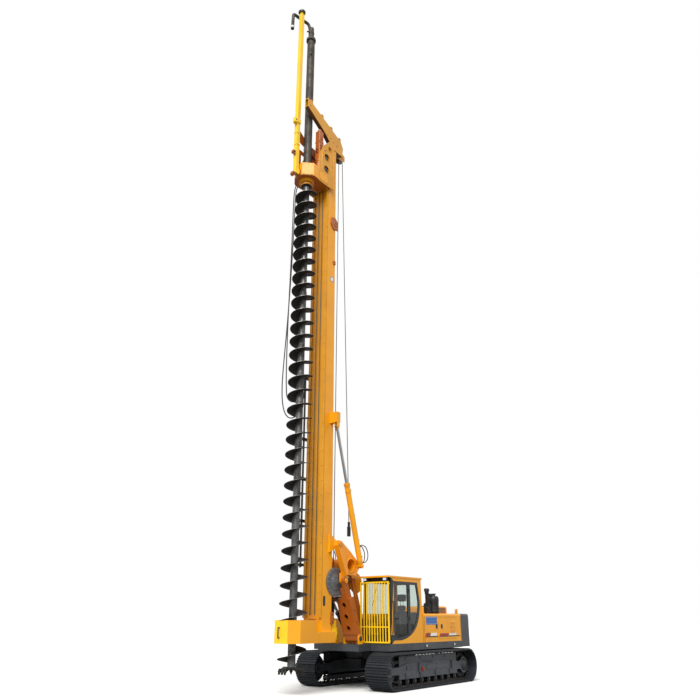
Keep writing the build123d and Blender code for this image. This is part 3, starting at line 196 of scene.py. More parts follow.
def glassSheet(name, colour):
    material, tree, place = newMaterial(name)
    smears = patches(tree, place, glassLook["smearMm"], 0.4, 0.8, 5)
    rough = addNode(tree, "Math", {0: smears, 1: glassLook["smearRoughness"]}, operation="MULTIPLY")
    clear = addNode(tree, "BsdfTransparent", {"Color": linear(colour)})
    gloss = addNode(tree, "BsdfGlossy", {"Color": (1, 1, 1, 1), "Roughness": rough})
    # light mirrors off the sheet's outer faces only
    inner = addNode(tree, "NewGeometry", out="Backfacing")
    outer = addNode(tree, "Math", {0: 1.0, 1: inner}, operation="SUBTRACT")
    fresnel = addNode(tree, "Fresnel", {"IOR": glassLook["ior"]})
    share = addNode(tree, "Math", {0: fresnel, 1: outer}, operation="MULTIPLY")
    return closeMaterial(material, addNode(tree, "MixShader", {0: share, 1: clear, 2: gloss}))


# Moulded rubber or plastic: matt, with a fine grain and paler where it is dusty
def moulded(name, colour, roughness=0.6, grainMm=1.5, grainDepthMm=0.1):
    material, tree, place = newMaterial(name)
    base = layOver(tree, linear(colour), "2e2e2e", patches(tree, place, 120, 0.3, 0.8))
    return closeMaterial(material, addNode(tree, "BsdfPrincipled", {
        "Base Color": base, "Roughness": roughness, "IOR": 1.5,
        "Normal": grain(tree, place, grainMm, grainDepthMm),
    }))


# Laid steel wire, greased: slanting strands with dark valleys make it read as rope. Bands that run
# diagonally lie twice as far apart along the rope, so a strand comes every 35 mm
ropeLook = {"bandMm": 17.45, "depthMm": 1.5, "bump": 0.6, "wire": "77756f", "grease": "2a2927"}


def wireRope(name):
    material, tree, place = newMaterial(name)
    bands = {"Vector": place, "Scale": bandScale(ropeLook["bandMm"])}
    strands = addNode(tree, "TexWave", bands, "Fac", bands_direction="DIAGONAL")
    base = layOver(tree, linear(ropeLook["grease"]), ropeLook["wire"], strands)
    normal = addNode(tree, "Bump", {
        "Height": strands, "Strength": ropeLook["bump"], "Distance": ropeLook["depthMm"] / 1000,
    })
    return closeMaterial(material, addNode(tree, "BsdfPrincipled", {
        "Base Color": base, "Metallic": 0.7, "Roughness": 0.5, "Normal": normal,
    }))


# Polyester seat cloth, woven: threads 2 mm apart that catch the light one by one
clothLook = {"threadMm": 1.96, "depthMm": 0.6, "bump": 0.6, "thread": "17171a", "crossing": "3a3a3d"}


def wovenCloth(name):
    material, tree, place = newMaterial(name)
    bands = {"Vector": place, "Scale": bandScale(clothLook["threadMm"])}
    ways = [addNode(tree, "TexWave", bands, "Fac", bands_direction=way) for way in ("X", "Z")]
    weave = addNode(tree, "Math", {0: ways[0], 1: ways[1]}, operation="MULTIPLY")
    base = layOver(tree, linear(clothLook["thread"]), clothLook["crossing"], weave)
    normal = addNode(tree, "Bump", {
        "Height": weave, "Strength": clothLook["bump"], "Distance": clothLook["depthMm"] / 1000,
    })
    return closeMaterial(material, addNode(tree, "BsdfPrincipled", {
        "Base Color": base, "Roughness": 0.85, "Sheen Weight": 0.3, "Normal": normal,
    }))


# Polycarbonate lamp lens, moulded with ribs that break up the reflection
lensLook = {"ribMm": 7.85, "depthMm": 0.8, "colour": "ccd2d6"}


def lampLens(name):
    material, tree, place = newMaterial(name)
    ribs = addNode(
        tree, "TexWave", {"Vector": place, "Scale": bandScale(lensLook["ribMm"])}, "Fac", bands_direction="X",
    )
    normal = addNode(tree, "Bump", {"Height": ribs, "Strength": 0.5, "Distance": lensLook["depthMm"] / 1000})
    return closeMaterial(material, addNode(tree, "BsdfPrincipled", {
        "Base Color": linear(lensLook["colour"]), "Roughness": 0.12, "IOR": 1.5,
        "Coat Weight": 1.0, "Coat Roughness": 0.03, "Normal": normal,
    }))


# Enamels: the fresh colour, then the duller one where it is worn or clouded
yellow = paintedSteel("machineEnamelYellow", "ec9f06", "c8810c")
# Bright yellow, a lighter copy of the machine yellow: painted light on the guide's and the pole's front
# faces, and partly painted light on the crowd drive and the cab guard
brightYellowAndPaintedLight = paintedSteel("enamelBrightYellowAndPaintedLight", "fccb18", "dfab24")
yellowDeep = paintedSteel("enamelDeepYellow", "f0960a", "c0760f")
yellowAged = paintedSteel("enamelAgedYellow", "da970e", "96600f", edge=0.5)
# Brown-orange, a darker copy of the yellow: painted shade on the boom arms, link bars, the gearbox's
# undersides and the pole's rear and stays; elsewhere, as on the motors, an orange of its own
orangeAndPaintedShade = paintedSteel("enamelOrangeAndPaintedShade", "ad5814", "7c4212")
# Near-black brown: painted shade on the cathead's undersides
paintedShadeBrown = paintedSteel("enamelPaintedShadeBrown", "5c360e", "3a2410", roughness=0.5)
charcoal = paintedSteel("machineEnamelCharcoal", "33373c", "55585c", roughness=0.42)
frameGrey = paintedSteel("enamelFrameGrey", "3a3e45", "5a5e63", roughness=0.45)
winchGrey = paintedSteel("enamelWinchGrey", "303337", "8a8c8e", edge=0.8)
winchRim = paintedSteel("enamelRimGrey", "6c7076", "9a9c9e", edge=0.5)
blackPaint = paintedSteel("chassisPaintBlack", "1c1e21", "45484b", roughness=0.42, dust=0.12)
heatBlack = paintedSteel("exhaustHeatPaint", "0a0a0b", "1d1b19", roughness=0.6, dust=0.1, edge=0.1)
redPaint = paintedSteel("enamelSignalRed", "a8211b", "7c1d18")
bluePaint = paintedSteel("enamelBlue", "2a64a6", "24507f")
whitePaint = paintedSteel("enamelOffWhite", "e3e1da", "c9c6bd")

# Steels: colour, blotches, roughness, metallic, size of the blotches and depth of the grain in mm, edges
trackSteel = bareSteel("rolledTrackSteel", "2f343b", "2b2b2c", 0.5, 0.5, 90, 0.6, 0.5, "64666a")
wornSteel = bareSteel("wornLinkSteel", "4c4945", "37332e", 0.45, 0.9, 60, 0.5, 0.6)
augerSteel = bareSteel("augerSteelBlack", "0a0908", "17110c", 0.6, 0.0, 140, 0.5, 0.9, "6b5f52")
augerPipe = bareSteel("augerPipeSteel", "6a6a6b", "3c3936", 0.34, 0.7, 320, 0.3, 0.4, "8a8681")
rubbedSteel = bareSteel("rubbedFlightRim", "8a8781", "5d5852", 0.32, 1.0, 70, 0.3, 0.0)
tubeSteel = bareSteel("driveTubeSteel", "4a443b", "3a342c", 0.55, 0.4, 260, 0.1, 0.1)
rodChrome = bareSteel("hardChromeRod", "b9bcc0", "a9acb0", 0.12, 1.0, 400, 0.02, 0.0)
zincBolts = bareSteel("zincPlatedBolts", "a9abac", "8e8f90", 0.35, 1.0, 20, 0.1, 0.0)
engineIron = bareSteel("castEngineIron", "3a3c3e", "2c2a28", 0.55, 0.5, 50, 1.0, 0.3)

ropeWire = wireRope("greasedWireRope")
hoseRubber = moulded("hydraulicHoseRubber", "151515", 0.5)
sealRubber = moulded("windowSealRubber", "101010", 0.65)
liningPlastic = moulded("cabLiningPlastic", "37383b", 0.62, 2.5, 0.15)
screenGlass = moulded("monitorScreen", "0b1016", 0.12, 200, 0.0)
windowGlass = glassSheet("tintedSafetyGlass", "eef3f0")
lampGlass = lampLens("ribbedLampLens")
seatCloth = wovenCloth("wovenSeatCloth")
print("materials made")

# The frame's nodes: each in its slot's finish, then those with paint of their own
finish = {
    "yellow_paint": yellow, "grey_paint": charcoal, "track_steel": trackSteel, "auger_steel": augerSteel,
    "rod_chrome": rodChrome, "rope_steel": ropeWire, "black_rubber": hoseRubber, "window_glass": windowGlass,
    "seat_cloth": seatCloth, "engine_iron": engineIron,
}
# Boom arms and link bars take the brown-orange as painted shade and the luffing cylinders' barrels black as
# painted shade; crowd drive and cab guard take the bright yellow, partly painted light
ownPaint = {
    "boom_arms": orangeAndPaintedShade, "link_bars": orangeAndPaintedShade, "head_motors": orangeAndPaintedShade,
    "triangle_frame": yellowDeep, "crowd_drive": brightYellowAndPaintedLight, "cab_guard": brightYellowAndPaintedLight,
    "mast_rails": yellowAged, "head_carriage": yellowAged, "cab_door": blackPaint,
    "quarter_light_frame": blackPaint, "luffing_cylinder_barrels": blackPaint, "mast_pipes": blackPaint,
    "track_frames": frameGrey, "main_winch_frame": winchGrey, "gooseneck": tubeSteel,
    "auger_drive_tube": tubeSteel,
}
for row in frame["record"]["subparts"]:
    materials = frame["nodes"][row["node"]].data.materials
    materials.clear()
    materials.append(ownPaint.get(row["node"], finish[row["material_slot"]]))

# Heights and places in metres where a node's paint changes
paintLimits = {
    "forkTop": 1.251, "windscreenFoot": 1.32, "cabFront": 1.9, "poleFront": 5.27, "gearboxFoot": 16.99,
}


# Gives a node more paints; the chooser says which from a face's middle and its normal
def paintFaces(name, materials, chooser):
    mesh = frame["nodes"][name].data
    for material in materials:
        mesh.materials.append(material)
    for face in mesh.polygons:
        face.material_index = chooser(face.center, face.normal)


paintFaces("deck_frame", [yellow], lambda at, normal: int(at.z > paintLimits["forkTop"]))
paintFaces("cab_shell", [blackPaint], lambda at, normal: int(
    at.x > paintLimits["cabFront"] and at.z > paintLimits["windscreenFoot"]))
# The guide's front, rear, top and bottom faces take the bright yellow as painted light; its sides keep the
# machine yellow
paintFaces("guide_frame", [brightYellowAndPaintedLight], lambda at, normal: int(abs(normal.y) <= 0.5))
# The pole's front faces take the bright yellow as painted light, its rear faces and brackets the brown-orange
# as painted shade
paintFaces(
    "head_pole", [brightYellowAndPaintedLight, orangeAndPaintedShade],
    lambda at, normal: 1 if at.x > paintLimits["poleFront"] else 2,
)
# The cathead's downward faces take the near-black brown: painted shade
paintFaces("cathead", [yellowAged, paintedShadeBrown], lambda at, normal: 2 if normal.z < -0.3 else 1)
# The gearbox's downward faces take the brown-orange: painted shade
paintFaces("head_gearbox", [orangeAndPaintedShade], lambda at, normal: int(
    normal.z < -0.5 and at.z > paintLimits["gearboxFoot"]))
print("frame's nodes painted")

# Camera at the photograph's place
view = {
    "place": (19.27, 13.45, 1.955), "upward": 22.73, "heading": 128.08, "focalPixels": 640.8,
    "imagePixels": 700,
}
camera = bpy.data.objects.new("camera", bpy.data.cameras.new("camera"))
scene.collection.objects.link(camera)
camera.data.sensor_width = 36.0
camera.data.lens = view["focalPixels"] / view["imagePixels"] * camera.data.sensor_width
camera.data.clip_end = 400
camera.location = view["place"]
camera.rotation_euler = (radians(90 + view["upward"]), 0, radians(view["heading"]))
scene.camera = camera

# Free hoses between the head's block and the clamp on the mast, with the routes of the part's source, in
# millimetres; lengths and diameter in metres
hoseDiameter = 0.04
hoses = {
    "outer_head_hose": {"length": 11.32, "route": (
        (4300, -624, 17620), (4300, -780, 17605), (4298, -905, 17480), (4295, -960, 17270),
        (4290, -985, 16950), (4280, -1005, 16370), (4268, -1022, 15780), (4256, -1042, 15190),
        (4244, -1066, 14600), (4232, -1094, 14010), (4220, -1126, 13420), (4208, -1162, 12830),
        (4196, -1202, 12240), (4184, -1246, 11650), (4172, -1294, 11060), (4160, -1344, 10480),
        (4148, -1391, 9910), (4136, -1418, 9370), (4120, -1395, 8870), (4095, -1300, 8450),
        (4055, -1110, 8210), (4010, -860, 8220), (3970, -655, 8450), (3945, -560, 8880), (3935, -532, 9230),
        (3935, -532, 9560),
    )},
    "inner_head_hose": {"length": 10.18, "route": (
        (4385, -624, 17620), (4385, -780, 17605), (4383, -905, 17480), (4380, -960, 17270),
        (4375, -985, 16950), (4362, -1003, 16370), (4346, -1018, 15780), (4328, -1036, 15190),
        (4310, -1056, 14600), (4292, -1079, 14010), (4274, -1104, 13420), (4256, -1130, 12830),
        (4238, -1154, 12240), (4220, -1175, 11650), (4202, -1192, 11060), (4184, -1204, 10480),
        (4166, -1210, 9950), (4150, -1213, 9570), (4130, -1207, 9250), (4108, -1196, 8985),
        (4080, -1081, 8815), (4040, -889, 8753), (4000, -697, 8815), (3965, -600, 8985), (3935, -578, 9275),
        (3935, -578, 9560),
    )},
}


def makeHose(name, route):
    curve = bpy.data.curves.new(name + "Line", "CURVE")
    curve.dimensions = "3D"
    spline = curve.splines.new("NURBS")
    spline.points.add(len(route) - 1)
    for point, place in zip(spline.points, route):
        point.co = (*[value / 1000 for value in place], 1.0)
    spline.order_u = 3
    spline.use_endpoint_u = True
    spline.resolution_u = 12
    curve.bevel_depth = hoseDiameter / 2
    curve.bevel_resolution = 4
    curve.use_fill_caps = True
    curve.materials.append(hoseRubber)
    hose = bpy.data.objects.new(name, curve)
    scene.collection.objects.link(hose)
    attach(hose, "mast")
    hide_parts(name)


for hoseName, hose in hoses.items():
    makeHose(hoseName, hose["route"])
print("hoses made")


# Mesh builders. A piece is one mesh with its vertices in the row frame, in metres. Faces made since the last
# call to paint() take the material index that it is given
def paint(bm, index):
    done = bm.faces.layers.int.get("done") or bm.faces.layers.int.new("done")
    for face in bm.faces:
        if not face[done]:
            face.material_index = index
            face[done] = 1


def makePiece(name, body, materials, bm, replaced=(), sharp=32):
    bmesh.ops.recalc_face_normals(bm, faces=bm.faces)
    bm.faces.layers.int.remove(bm.faces.layers.int["done"])
    mesh = bpy.data.meshes.new(name)
    bm.to_mesh(mesh)
    bm.free()
    for material in materials:
        mesh.materials.append(material)
    mesh.shade_smooth()
    mesh.set_sharp_from_angle(angle=radians(sharp))
    piece = bpy.data.objects.new(name, mesh)
    scene.collection.objects.link(piece)
    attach(piece, body)
    if replaced:
        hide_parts(*replaced)


# Two directions square to a direction and to each other
def axes(direction):
    forward = Vector(direction).normalized()
    aside = forward.orthogonal().normalized()
    if abs(forward.z) < 0.9:
        aside = forward.cross(Vector((0, 0, 1))).normalized()
    return aside, forward.cross(aside)


def loopFaces(bm, first, second):
    count = len(first)
    for i in range(count):
        j = (i + 1) % count
        bm.faces.new((first[i], first[j], second[j], second[i]))


# Rings of (distance along the direction, radius); a radius of 0 closes the end in a point
def lathe(bm, origin, direction, profile, steps=32):
    aside, up = axes(direction)
    forward = Vector(direction).normalized()
    rings = []
    for along, radius in profile:
        centre = Vector(origin) + forward * along
        if radius <= 0:
            rings.append([bm.verts.new(centre)])
            continue
        angles = [2 * pi * k / steps for k in range(steps)]
        rings.append([bm.verts.new(centre + (aside * cos(a) + up * sin(a)) * radius) for a in angles])
    for first, second in zip(rings, rings[1:]):
        if len(first) == 1 or len(second) == 1:
            tip, rim = (first, second) if len(first) == 1 else (second, first)
            for k in range(len(rim)):
                bm.faces.new((tip[0], rim[k], rim[(k + 1) % len(rim)]))
        else:
            loopFaces(bm, first, second)


def rod(bm, start, end, radius, steps=16):
    length = (Vector(end) - Vector(start)).length
    lathe(bm, start, Vector(end) - Vector(start), [(0, 0), (0, radius), (length, radius), (length, 0)], steps)


# A plate with its outline in the other two axes, in the order X, Y, Z
def prism(bm, points, low, high, across="y", chamfer=0.0):
    def place(point, depth):
        if across == "x":
            return (depth, point[0], point[1])
        if across == "y":
            return (point[0], depth, point[1])
        return (point[0], point[1], depth)
    first = [bm.verts.new(place(point, low)) for point in points]
    second = [bm.verts.new(place(point, high)) for point in points]
    faces = [bm.faces.new(first), bm.faces.new(second)]
    loopFaces(bm, first, second)
    if chamfer:
        edges = [edge for face in faces for edge in face.edges]
        bmesh.ops.bevel(bm, geom=edges, offset=chamfer, segments=2, affect="EDGES", clamp_overlap=True)


def box(bm, x, y, z, round=0.0):
    corners = [(x[0], y[0]), (x[1], y[0]), (x[1], y[1]), (x[0], y[1])]
    before = set(bm.edges)
    prism(bm, corners, z[0], z[1], "z")
    if round:
        edges = [edge for edge in bm.edges if edge not in before]
        bmesh.ops.bevel(bm, geom=edges, offset=round, segments=2, affect="EDGES", clamp_overlap=True)


def block(bm, centre, half, round):
    box(bm, *[(middle - reach, middle + reach) for middle, reach in zip(centre, half)], round)


# Depths from inside a wall's face to outside it, for a face on either side of the machine
def through(face, inside, outside):
    side = 1 if face > 0 else -1
    return sorted((face - side * inside, face + side * outside))


# Two depths on the left side, or their mirror image on the right one
def mirrored(side, near, far):
    return sorted((side * near, side * far))


# Outline of a bar with round ends between two points
def roundBar(a, b, radius, steps=8):
    lean = atan2(b[1] - a[1], b[0] - a[0])
    points = []
    for centre, start in ((b, lean - pi / 2), (a, lean + pi / 2)):
        for k in range(steps + 1):
            angle = start + pi * k / steps
            points.append((centre[0] + radius * cos(angle), centre[1] + radius * sin(angle)))
    return points


# A curve through the points, with tangents along their neighbours
def smoothPath(points, steps=8):
    points = [Vector(p) for p in points]
    ends = [points[0] * 2 - points[1]] + points + [points[-1] * 2 - points[-2]]
    path = []
    for i in range(1, len(ends) - 2):
        before, a, b, after = ends[i - 1:i + 3]
        for k in range(steps):
            t = k / steps
            path.append(
                0.5 * (2 * a + (b - before) * t + (2 * before - 5 * a + 4 * b - after) * t ** 2
                       + (3 * a - before - 3 * b + after) * t ** 3)
            )
    path.append(points[-1])
    return path


# A round tube along a path, closed at both ends
def tube(bm, path, radius, sides=10):
    path = [Vector(p) for p in path]
    tangent = (path[1] - path[0]).normalized()
    aside, up = axes(tangent)
    rings = []
    for i, centre in enumerate(path):
        ahead = path[min(i + 1, len(path) - 1)] - path[max(i - 1, 0)]
        turn = tangent.rotation_difference(ahead.normalized())
        aside, up, tangent = turn @ aside, turn @ up, ahead.normalized()
        rings.append([
            bm.verts.new(centre + (aside * cos(2 * pi * k / sides) + up * sin(2 * pi * k / sides)) * radius)
            for k in range(sides)
        ])
    for first, second in zip(rings, rings[1:]):
        loopFaces(bm, first, second)
    bm.faces.new(rings[0])
    bm.faces.new(rings[-1])


def boltRow(bm, places, direction, radius=0.014, high=0.012):
    for place in places:
        lathe(bm, place, direction, [(0, radius), (high, radius), (high, 0)], 6)


# Hexagon heads on a circle, each standing on the plane through the centre
def bolts(bm, centre, direction, ringRadius, count, radius=0.014, high=0.012):
    aside, up = axes(direction)
    angles = [2 * pi * k / count for k in range(count)]
    places = [Vector(centre) + (aside * cos(angle) + up * sin(angle)) * ringRadius for angle in angles]
    boltRow(bm, places, direction, radius, high)


# Keeper plate, grease nipple and two bolts on a pin's end; the sign of y is the side
def pinCap(bm, x, z, y, radius):
    side = 1 if y > 0 else -1
    out = (0, side, 0)
    plate = y + side * 0.012
    lathe(bm, (x, y, z), out, [(0, radius), (0.008, radius), (0.012, radius - 0.006), (0.012, 0)], 24)
    lathe(bm, (x, plate, z), out, [(0, 0.012), (0.016, 0.010), (0.016, 0)], 8)
    boltRow(bm, [(x - radius * 0.6, plate, z), (x + radius * 0.6, plate, z)], out, 0.011, 0.009)


# Tracks: link chains, shoes with three grousers and their bolts. Outlines are (along the track, outward)
trackShape = {
    "loopRadius": 0.454, "endInset": 0.51, "shoesAlong": 22, "shoesRound": 7, "sideGap": 0.004,
    "shoe": [
        (-0.114, -0.005), (-0.114, 0.002), (-0.099, 0.014), (-0.092, 0.022), (-0.084, 0.050), (-0.070, 0.050),
        (-0.060, 0.022), (-0.020, 0.022), (-0.008, 0.050), (0.008, 0.050), (0.020, 0.022), (0.056, 0.022),
        (0.068, 0.050), (0.082, 0.050), (0.090, 0.014), (0.097, 0.004),
    ],
    "link": [
        (-0.092, -0.058), (0.02, -0.058), (0.05, -0.044), (0.10, -0.044), (0.10, -0.012), (0.06, -0.001),
        (-0.075, -0.001), (-0.092, -0.016),
    ],
    "linksAcross": ((0.062, 0.092), (-0.092, -0.062)), "pinAt": (0.098, -0.030), "pinHalf": 0.094,
    "pin": 0.017, "boltsAcross": (-0.078, 0.078), "boltsAlong": (-0.040, 0.038), "boltFoot": 0.022,
    "bolt": 0.015, "boltHigh": 0.011,
}


# Place, forward and outward directions of each shoe: the loop has two straight runs and two half circles
def shoePlaces(low, high):
    radius, inset = trackShape["loopRadius"], trackShape["endInset"]
    rear, front, height = low.x + inset, high.x - inset, low.z + inset
    along, round = trackShape["shoesAlong"], trackShape["shoesRound"]
    places = []
    run = (front - rear) / along
    for i in range(along):
        places.append(((rear + (i + 0.5) * run, height - radius), (1, 0), (0, -1)))
        places.append(((front - (i + 0.5) * run, height + radius), (-1, 0), (0, 1)))
    for i in range(round):
        for centre, base in ((front, -pi / 2), (rear, pi / 2)):
            angle = base + pi * (i + 0.5) / round
            out = (cos(angle), sin(angle))
            places.append(((centre + radius * out[0], height + radius * out[1]), (-out[1], out[0]), out))
    return places


def makeTrack(sideName):
    shape = trackShape
    low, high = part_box("track_" + sideName)
    middle = (low.y + high.y) / 2
    bm = bmesh.new()
    for (cx, cz), (tx, tz), (nx, nz) in shoePlaces(low, high):
        def onLoop(points):
            return [(cx + t * tx + n * nx, cz + t * tz + n * nz) for t, n in points]
        prism(bm, onLoop(shape["shoe"]), low.y + shape["sideGap"], high.y - shape["sideGap"])
        paint(bm, 0)
        for inner, outer in shape["linksAcross"]:
            prism(bm, onLoop(shape["link"]), middle + inner, middle + outer)
        px, pz = onLoop([shape["pinAt"]])[0]
        rod(bm, (px, middle - shape["pinHalf"], pz), (px, middle + shape["pinHalf"], pz), shape["pin"], 10)
        feet = onLoop([(t, shape["boltFoot"]) for t in shape["boltsAlong"]])
        for across in shape["boltsAcross"]:
            places = [(bx, middle + across, bz) for bx, bz in feet]
            boltRow(bm, places, (nx, 0, nz), shape["bolt"], shape["boltHigh"])
        paint(bm, 1)
    makePiece("shoesAndLinks_" + sideName, "undercarriage", [trackSteel, wornSteel], bm,
              ("track_" + sideName,), 28)


# Idlers, sprockets and rollers, turned; profiles are (outward along the axle, radius)
gearShape = {
    "idler": [
        (-0.175, 0), (-0.175, 0.074), (-0.10, 0.074), (-0.095, 0.13), (-0.05, 0.15), (-0.04, 0.32),
        (-0.06, 0.345), (-0.06, 0.375), (-0.030, 0.375), (-0.026, 0.398), (0.026, 0.398), (0.030, 0.375),
        (0.06, 0.375), (0.06, 0.345), (0.04, 0.32), (0.05, 0.15), (0.095, 0.13), (0.10, 0.074),
        (0.175, 0.074), (0.175, 0),
    ],
    "drive": [
        (-0.21, 0), (-0.21, 0.17), (-0.19, 0.19), (0.02, 0.19), (0.025, 0.26), (0.055, 0.26), (0.06, 0.19),
        (0.15, 0.185), (0.18, 0.16), (0.205, 0.10), (0.21, 0.09), (0.21, 0),
    ],
    "roller": [
        (-0.128, 0), (-0.128, 0.045), (-0.100, 0.05), (-0.098, 0.088), (-0.070, 0.090), (-0.055, 0.075),
        (0.055, 0.075), (0.070, 0.090), (0.098, 0.088), (0.100, 0.05), (0.128, 0.045), (0.128, 0),
    ],
    "carrier": [
        (-0.09, 0), (-0.09, 0.085), (-0.062, 0.088), (-0.055, 0.07), (0.055, 0.07), (0.062, 0.088),
        (0.09, 0.085), (0.09, 0),
    ],
    # share of a tooth's pitch and the radius there
    "tooth": ((0.0, 0.352), (0.22, 0.362), (0.36, 0.396), (0.64, 0.396), (0.78, 0.362)),
    "teeth": 20, "toothHalf": 0.032, "rollers": 9, "rollerInset": 0.09, "carriersAt": (-0.9, 0.7),
    "postFoot": 0.70,
    # outward place, ring radius, count, bolt radius and height
    "idlerBolts": ((0.0475, 0.20, 8, 0.016, 0.008),),
    "driveBolts": (
        (0.055, 0.235, 20, 0.013, 0.012), (0.181, 0.135, 12, 0.011, 0.010), (0.209, 0.055, 3, 0.010, 0.004),
    ),
}


def makeRunningGear():
    shape = gearShape
    inset = trackShape["endInset"]
    low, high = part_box("track_left")
    rear, front, height = low.x + inset, high.x - inset, low.z + inset
    rollersLow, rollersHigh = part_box("track_rollers")
    first, last = rollersLow.x + shape["rollerInset"], rollersHigh.x - shape["rollerInset"]
    bm = bmesh.new()
    for side in (1, -1):
        middle = side * (low.y + high.y) / 2
        out = (0, side, 0)
        # idler with a flanged rim on a dished web
        lathe(bm, (front, middle, height), out, shape["idler"], 48)
        for outward, ring, count, radius, tall in shape["idlerBolts"]:
            bolts(bm, (front, middle + side * outward, height), out, ring, count, radius, tall)
        # toothed ring bolted to the final drive
        outline = []
        for k in range(shape["teeth"]):
            for share, radius in shape["tooth"]:
                angle = 2 * pi * (k + share) / shape["teeth"]
                outline.append((rear + radius * cos(angle), height + radius * sin(angle)))
        prism(bm, outline, middle - shape["toothHalf"], middle + shape["toothHalf"])
        lathe(bm, (rear, middle, height), out, shape["drive"], 48)
        for outward, ring, count, radius, tall in shape["driveBolts"]:
            bolts(bm, (rear, middle + side * outward, height), out, ring, count, radius, tall)
        for k in range(shape["rollers"]):
            cx = first + k * (last - first) / (shape["rollers"] - 1)
            lathe(bm, (cx, middle, rollersLow.z + shape["rollerInset"]), out, shape["roller"], 28)
        for cx in shape["carriersAt"]:
            top = rollersHigh.z - shape["rollerInset"]
            lathe(bm, (cx, middle, top), out, shape["carrier"], 28)
            post = ((cx - 0.035, cx + 0.035), (middle - 0.05, middle + 0.05), (shape["postFoot"], top - 0.03))
            box(bm, *post, 0.006)
    paint(bm, 0)
    makePiece("idlersSprocketsRollers", "undercarriage", [blackPaint], bm,
              ("front_idlers", "drive_sprockets", "track_rollers"), 30)


# Track frames: bolted pads, the tensioner's hatch, guards, a step and a red shackle; spans are (from, to)
frameFittings = {
    "padsAt": (-1.35, -0.45, 0.45, 1.25), "padHalf": 0.09, "padHeight": (0.30, 0.44), "padThick": 0.035,
    "padBoltsAt": 0.06, "padBoltHeight": 0.37,
    "coverAlong": (-1.05, 0.15), "coverHeight": (0.47, 0.64), "coverThick": 0.012,
    "coverBolts": [(cx, cz) for cx in (-0.98, -0.45, 0.08) for cz in (0.50, 0.61)],
    "ribsAt": (-1.45, 0.55), "ribWide": 0.06, "ribHeight": (0.42, 0.69), "ribThick": 0.05,
    "hatchAlong": (0.92, 1.28), "hatchHeight": (0.52, 0.62), "hatchThick": 0.016,
    "hatchBolts": [(cx, cz) for cx in (0.95, 1.25) for cz in (0.54, 0.60)],
    "guardAlong": (-1.80, 1.62), "guardHeight": (0.64, 0.905), "panelHeight": (0.775, 0.885),
    "panels": ((-1.55, -1.02), (-0.96, -0.30), (-0.24, 0.46), (0.52, 1.30)),
    "innerWallAlong": (-1.75, 1.72), "innerWallHeight": (0.15, 0.34), "innerWallInset": 0.30,
    "stepLegs": (-0.30, 0.05), "stepBar": (-0.31, 0.06), "stepHeight": 0.70, "stepReach": 0.20,
    "stepRadius": 0.013, "shackleAlong": (0.36, 0.46), "shackleHeight": (0.46, 0.56),
}


def makeTrackFrameDetails():
    shape = frameFittings
    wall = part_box("track_frames")[1].y
    bm = bmesh.new()
    for side in (1, -1):
        face = side * wall
        out = (0, side, 0)
        def plate(along, height, thick):
            box(bm, along, through(face, 0.002, thick), height, 0.004)
        def plateBolts(places, thick, *size):
            boltRow(bm, [(cx, face + side * thick, cz) for cx, cz in places], out, *size)
        for cx in shape["padsAt"]:
            plate((cx - shape["padHalf"], cx + shape["padHalf"]), shape["padHeight"], shape["padThick"])
            reach = shape["padBoltsAt"]
            places = [(px, shape["padBoltHeight"]) for px in (cx - reach, cx + reach)]
            plateBolts(places, shape["padThick"], 0.016, 0.012)
        plate(shape["coverAlong"], shape["coverHeight"], shape["coverThick"])
        plateBolts(shape["coverBolts"], shape["coverThick"])
        for cx in shape["ribsAt"]:
            plate((cx, cx + shape["ribWide"]), shape["ribHeight"], shape["ribThick"])
        paint(bm, 0)
        plate(shape["hatchAlong"], shape["hatchHeight"], shape["hatchThick"])
        plateBolts(shape["hatchBolts"], shape["hatchThick"], 0.010, 0.008)
        paint(bm, 1)
    # guards that close the gaps above the frame and between the rollers
    for side in (1, -1):
        face = side * wall
        box(bm, shape["guardAlong"], through(face, 0.05, -0.03), shape["guardHeight"], 0.004)
        for along in shape["panels"]:
            box(bm, along, through(face, 0.031, -0.016), shape["panelHeight"], 0.006)
        inset = shape["innerWallInset"]
        box(bm, shape["innerWallAlong"], through(face, inset, 0.02 - inset), shape["innerWallHeight"], 0.004)
    # step on the left frame
    height, reach = shape["stepHeight"], wall + shape["stepReach"]
    for cx in shape["stepLegs"]:
        rod(bm, (cx, wall + 0.01, height), (cx, reach, height), shape["stepRadius"], 8)
    rear, front = shape["stepBar"]
    rod(bm, (rear, reach, height), (front, reach, height), shape["stepRadius"], 8)
    paint(bm, 0)
    along, height = shape["shackleAlong"], shape["shackleHeight"]
    box(bm, along, (wall - 0.002, wall + 0.055), height, 0.012)
    middle = (sum(along) / 2, wall + 0.05, sum(height) / 2)
    lathe(bm, middle, (0, 1, 0), [(0, 0.030), (0.03, 0.026), (0.03, 0)], 16)
    paint(bm, 2)
    makePiece("trackFrameFittings", "undercarriage", [frameGrey, charcoal, redPaint], bm)


makeTrack("left")
makeTrack("right")
makeRunningGear()
makeTrackFrameDetails()
print("tracks made")

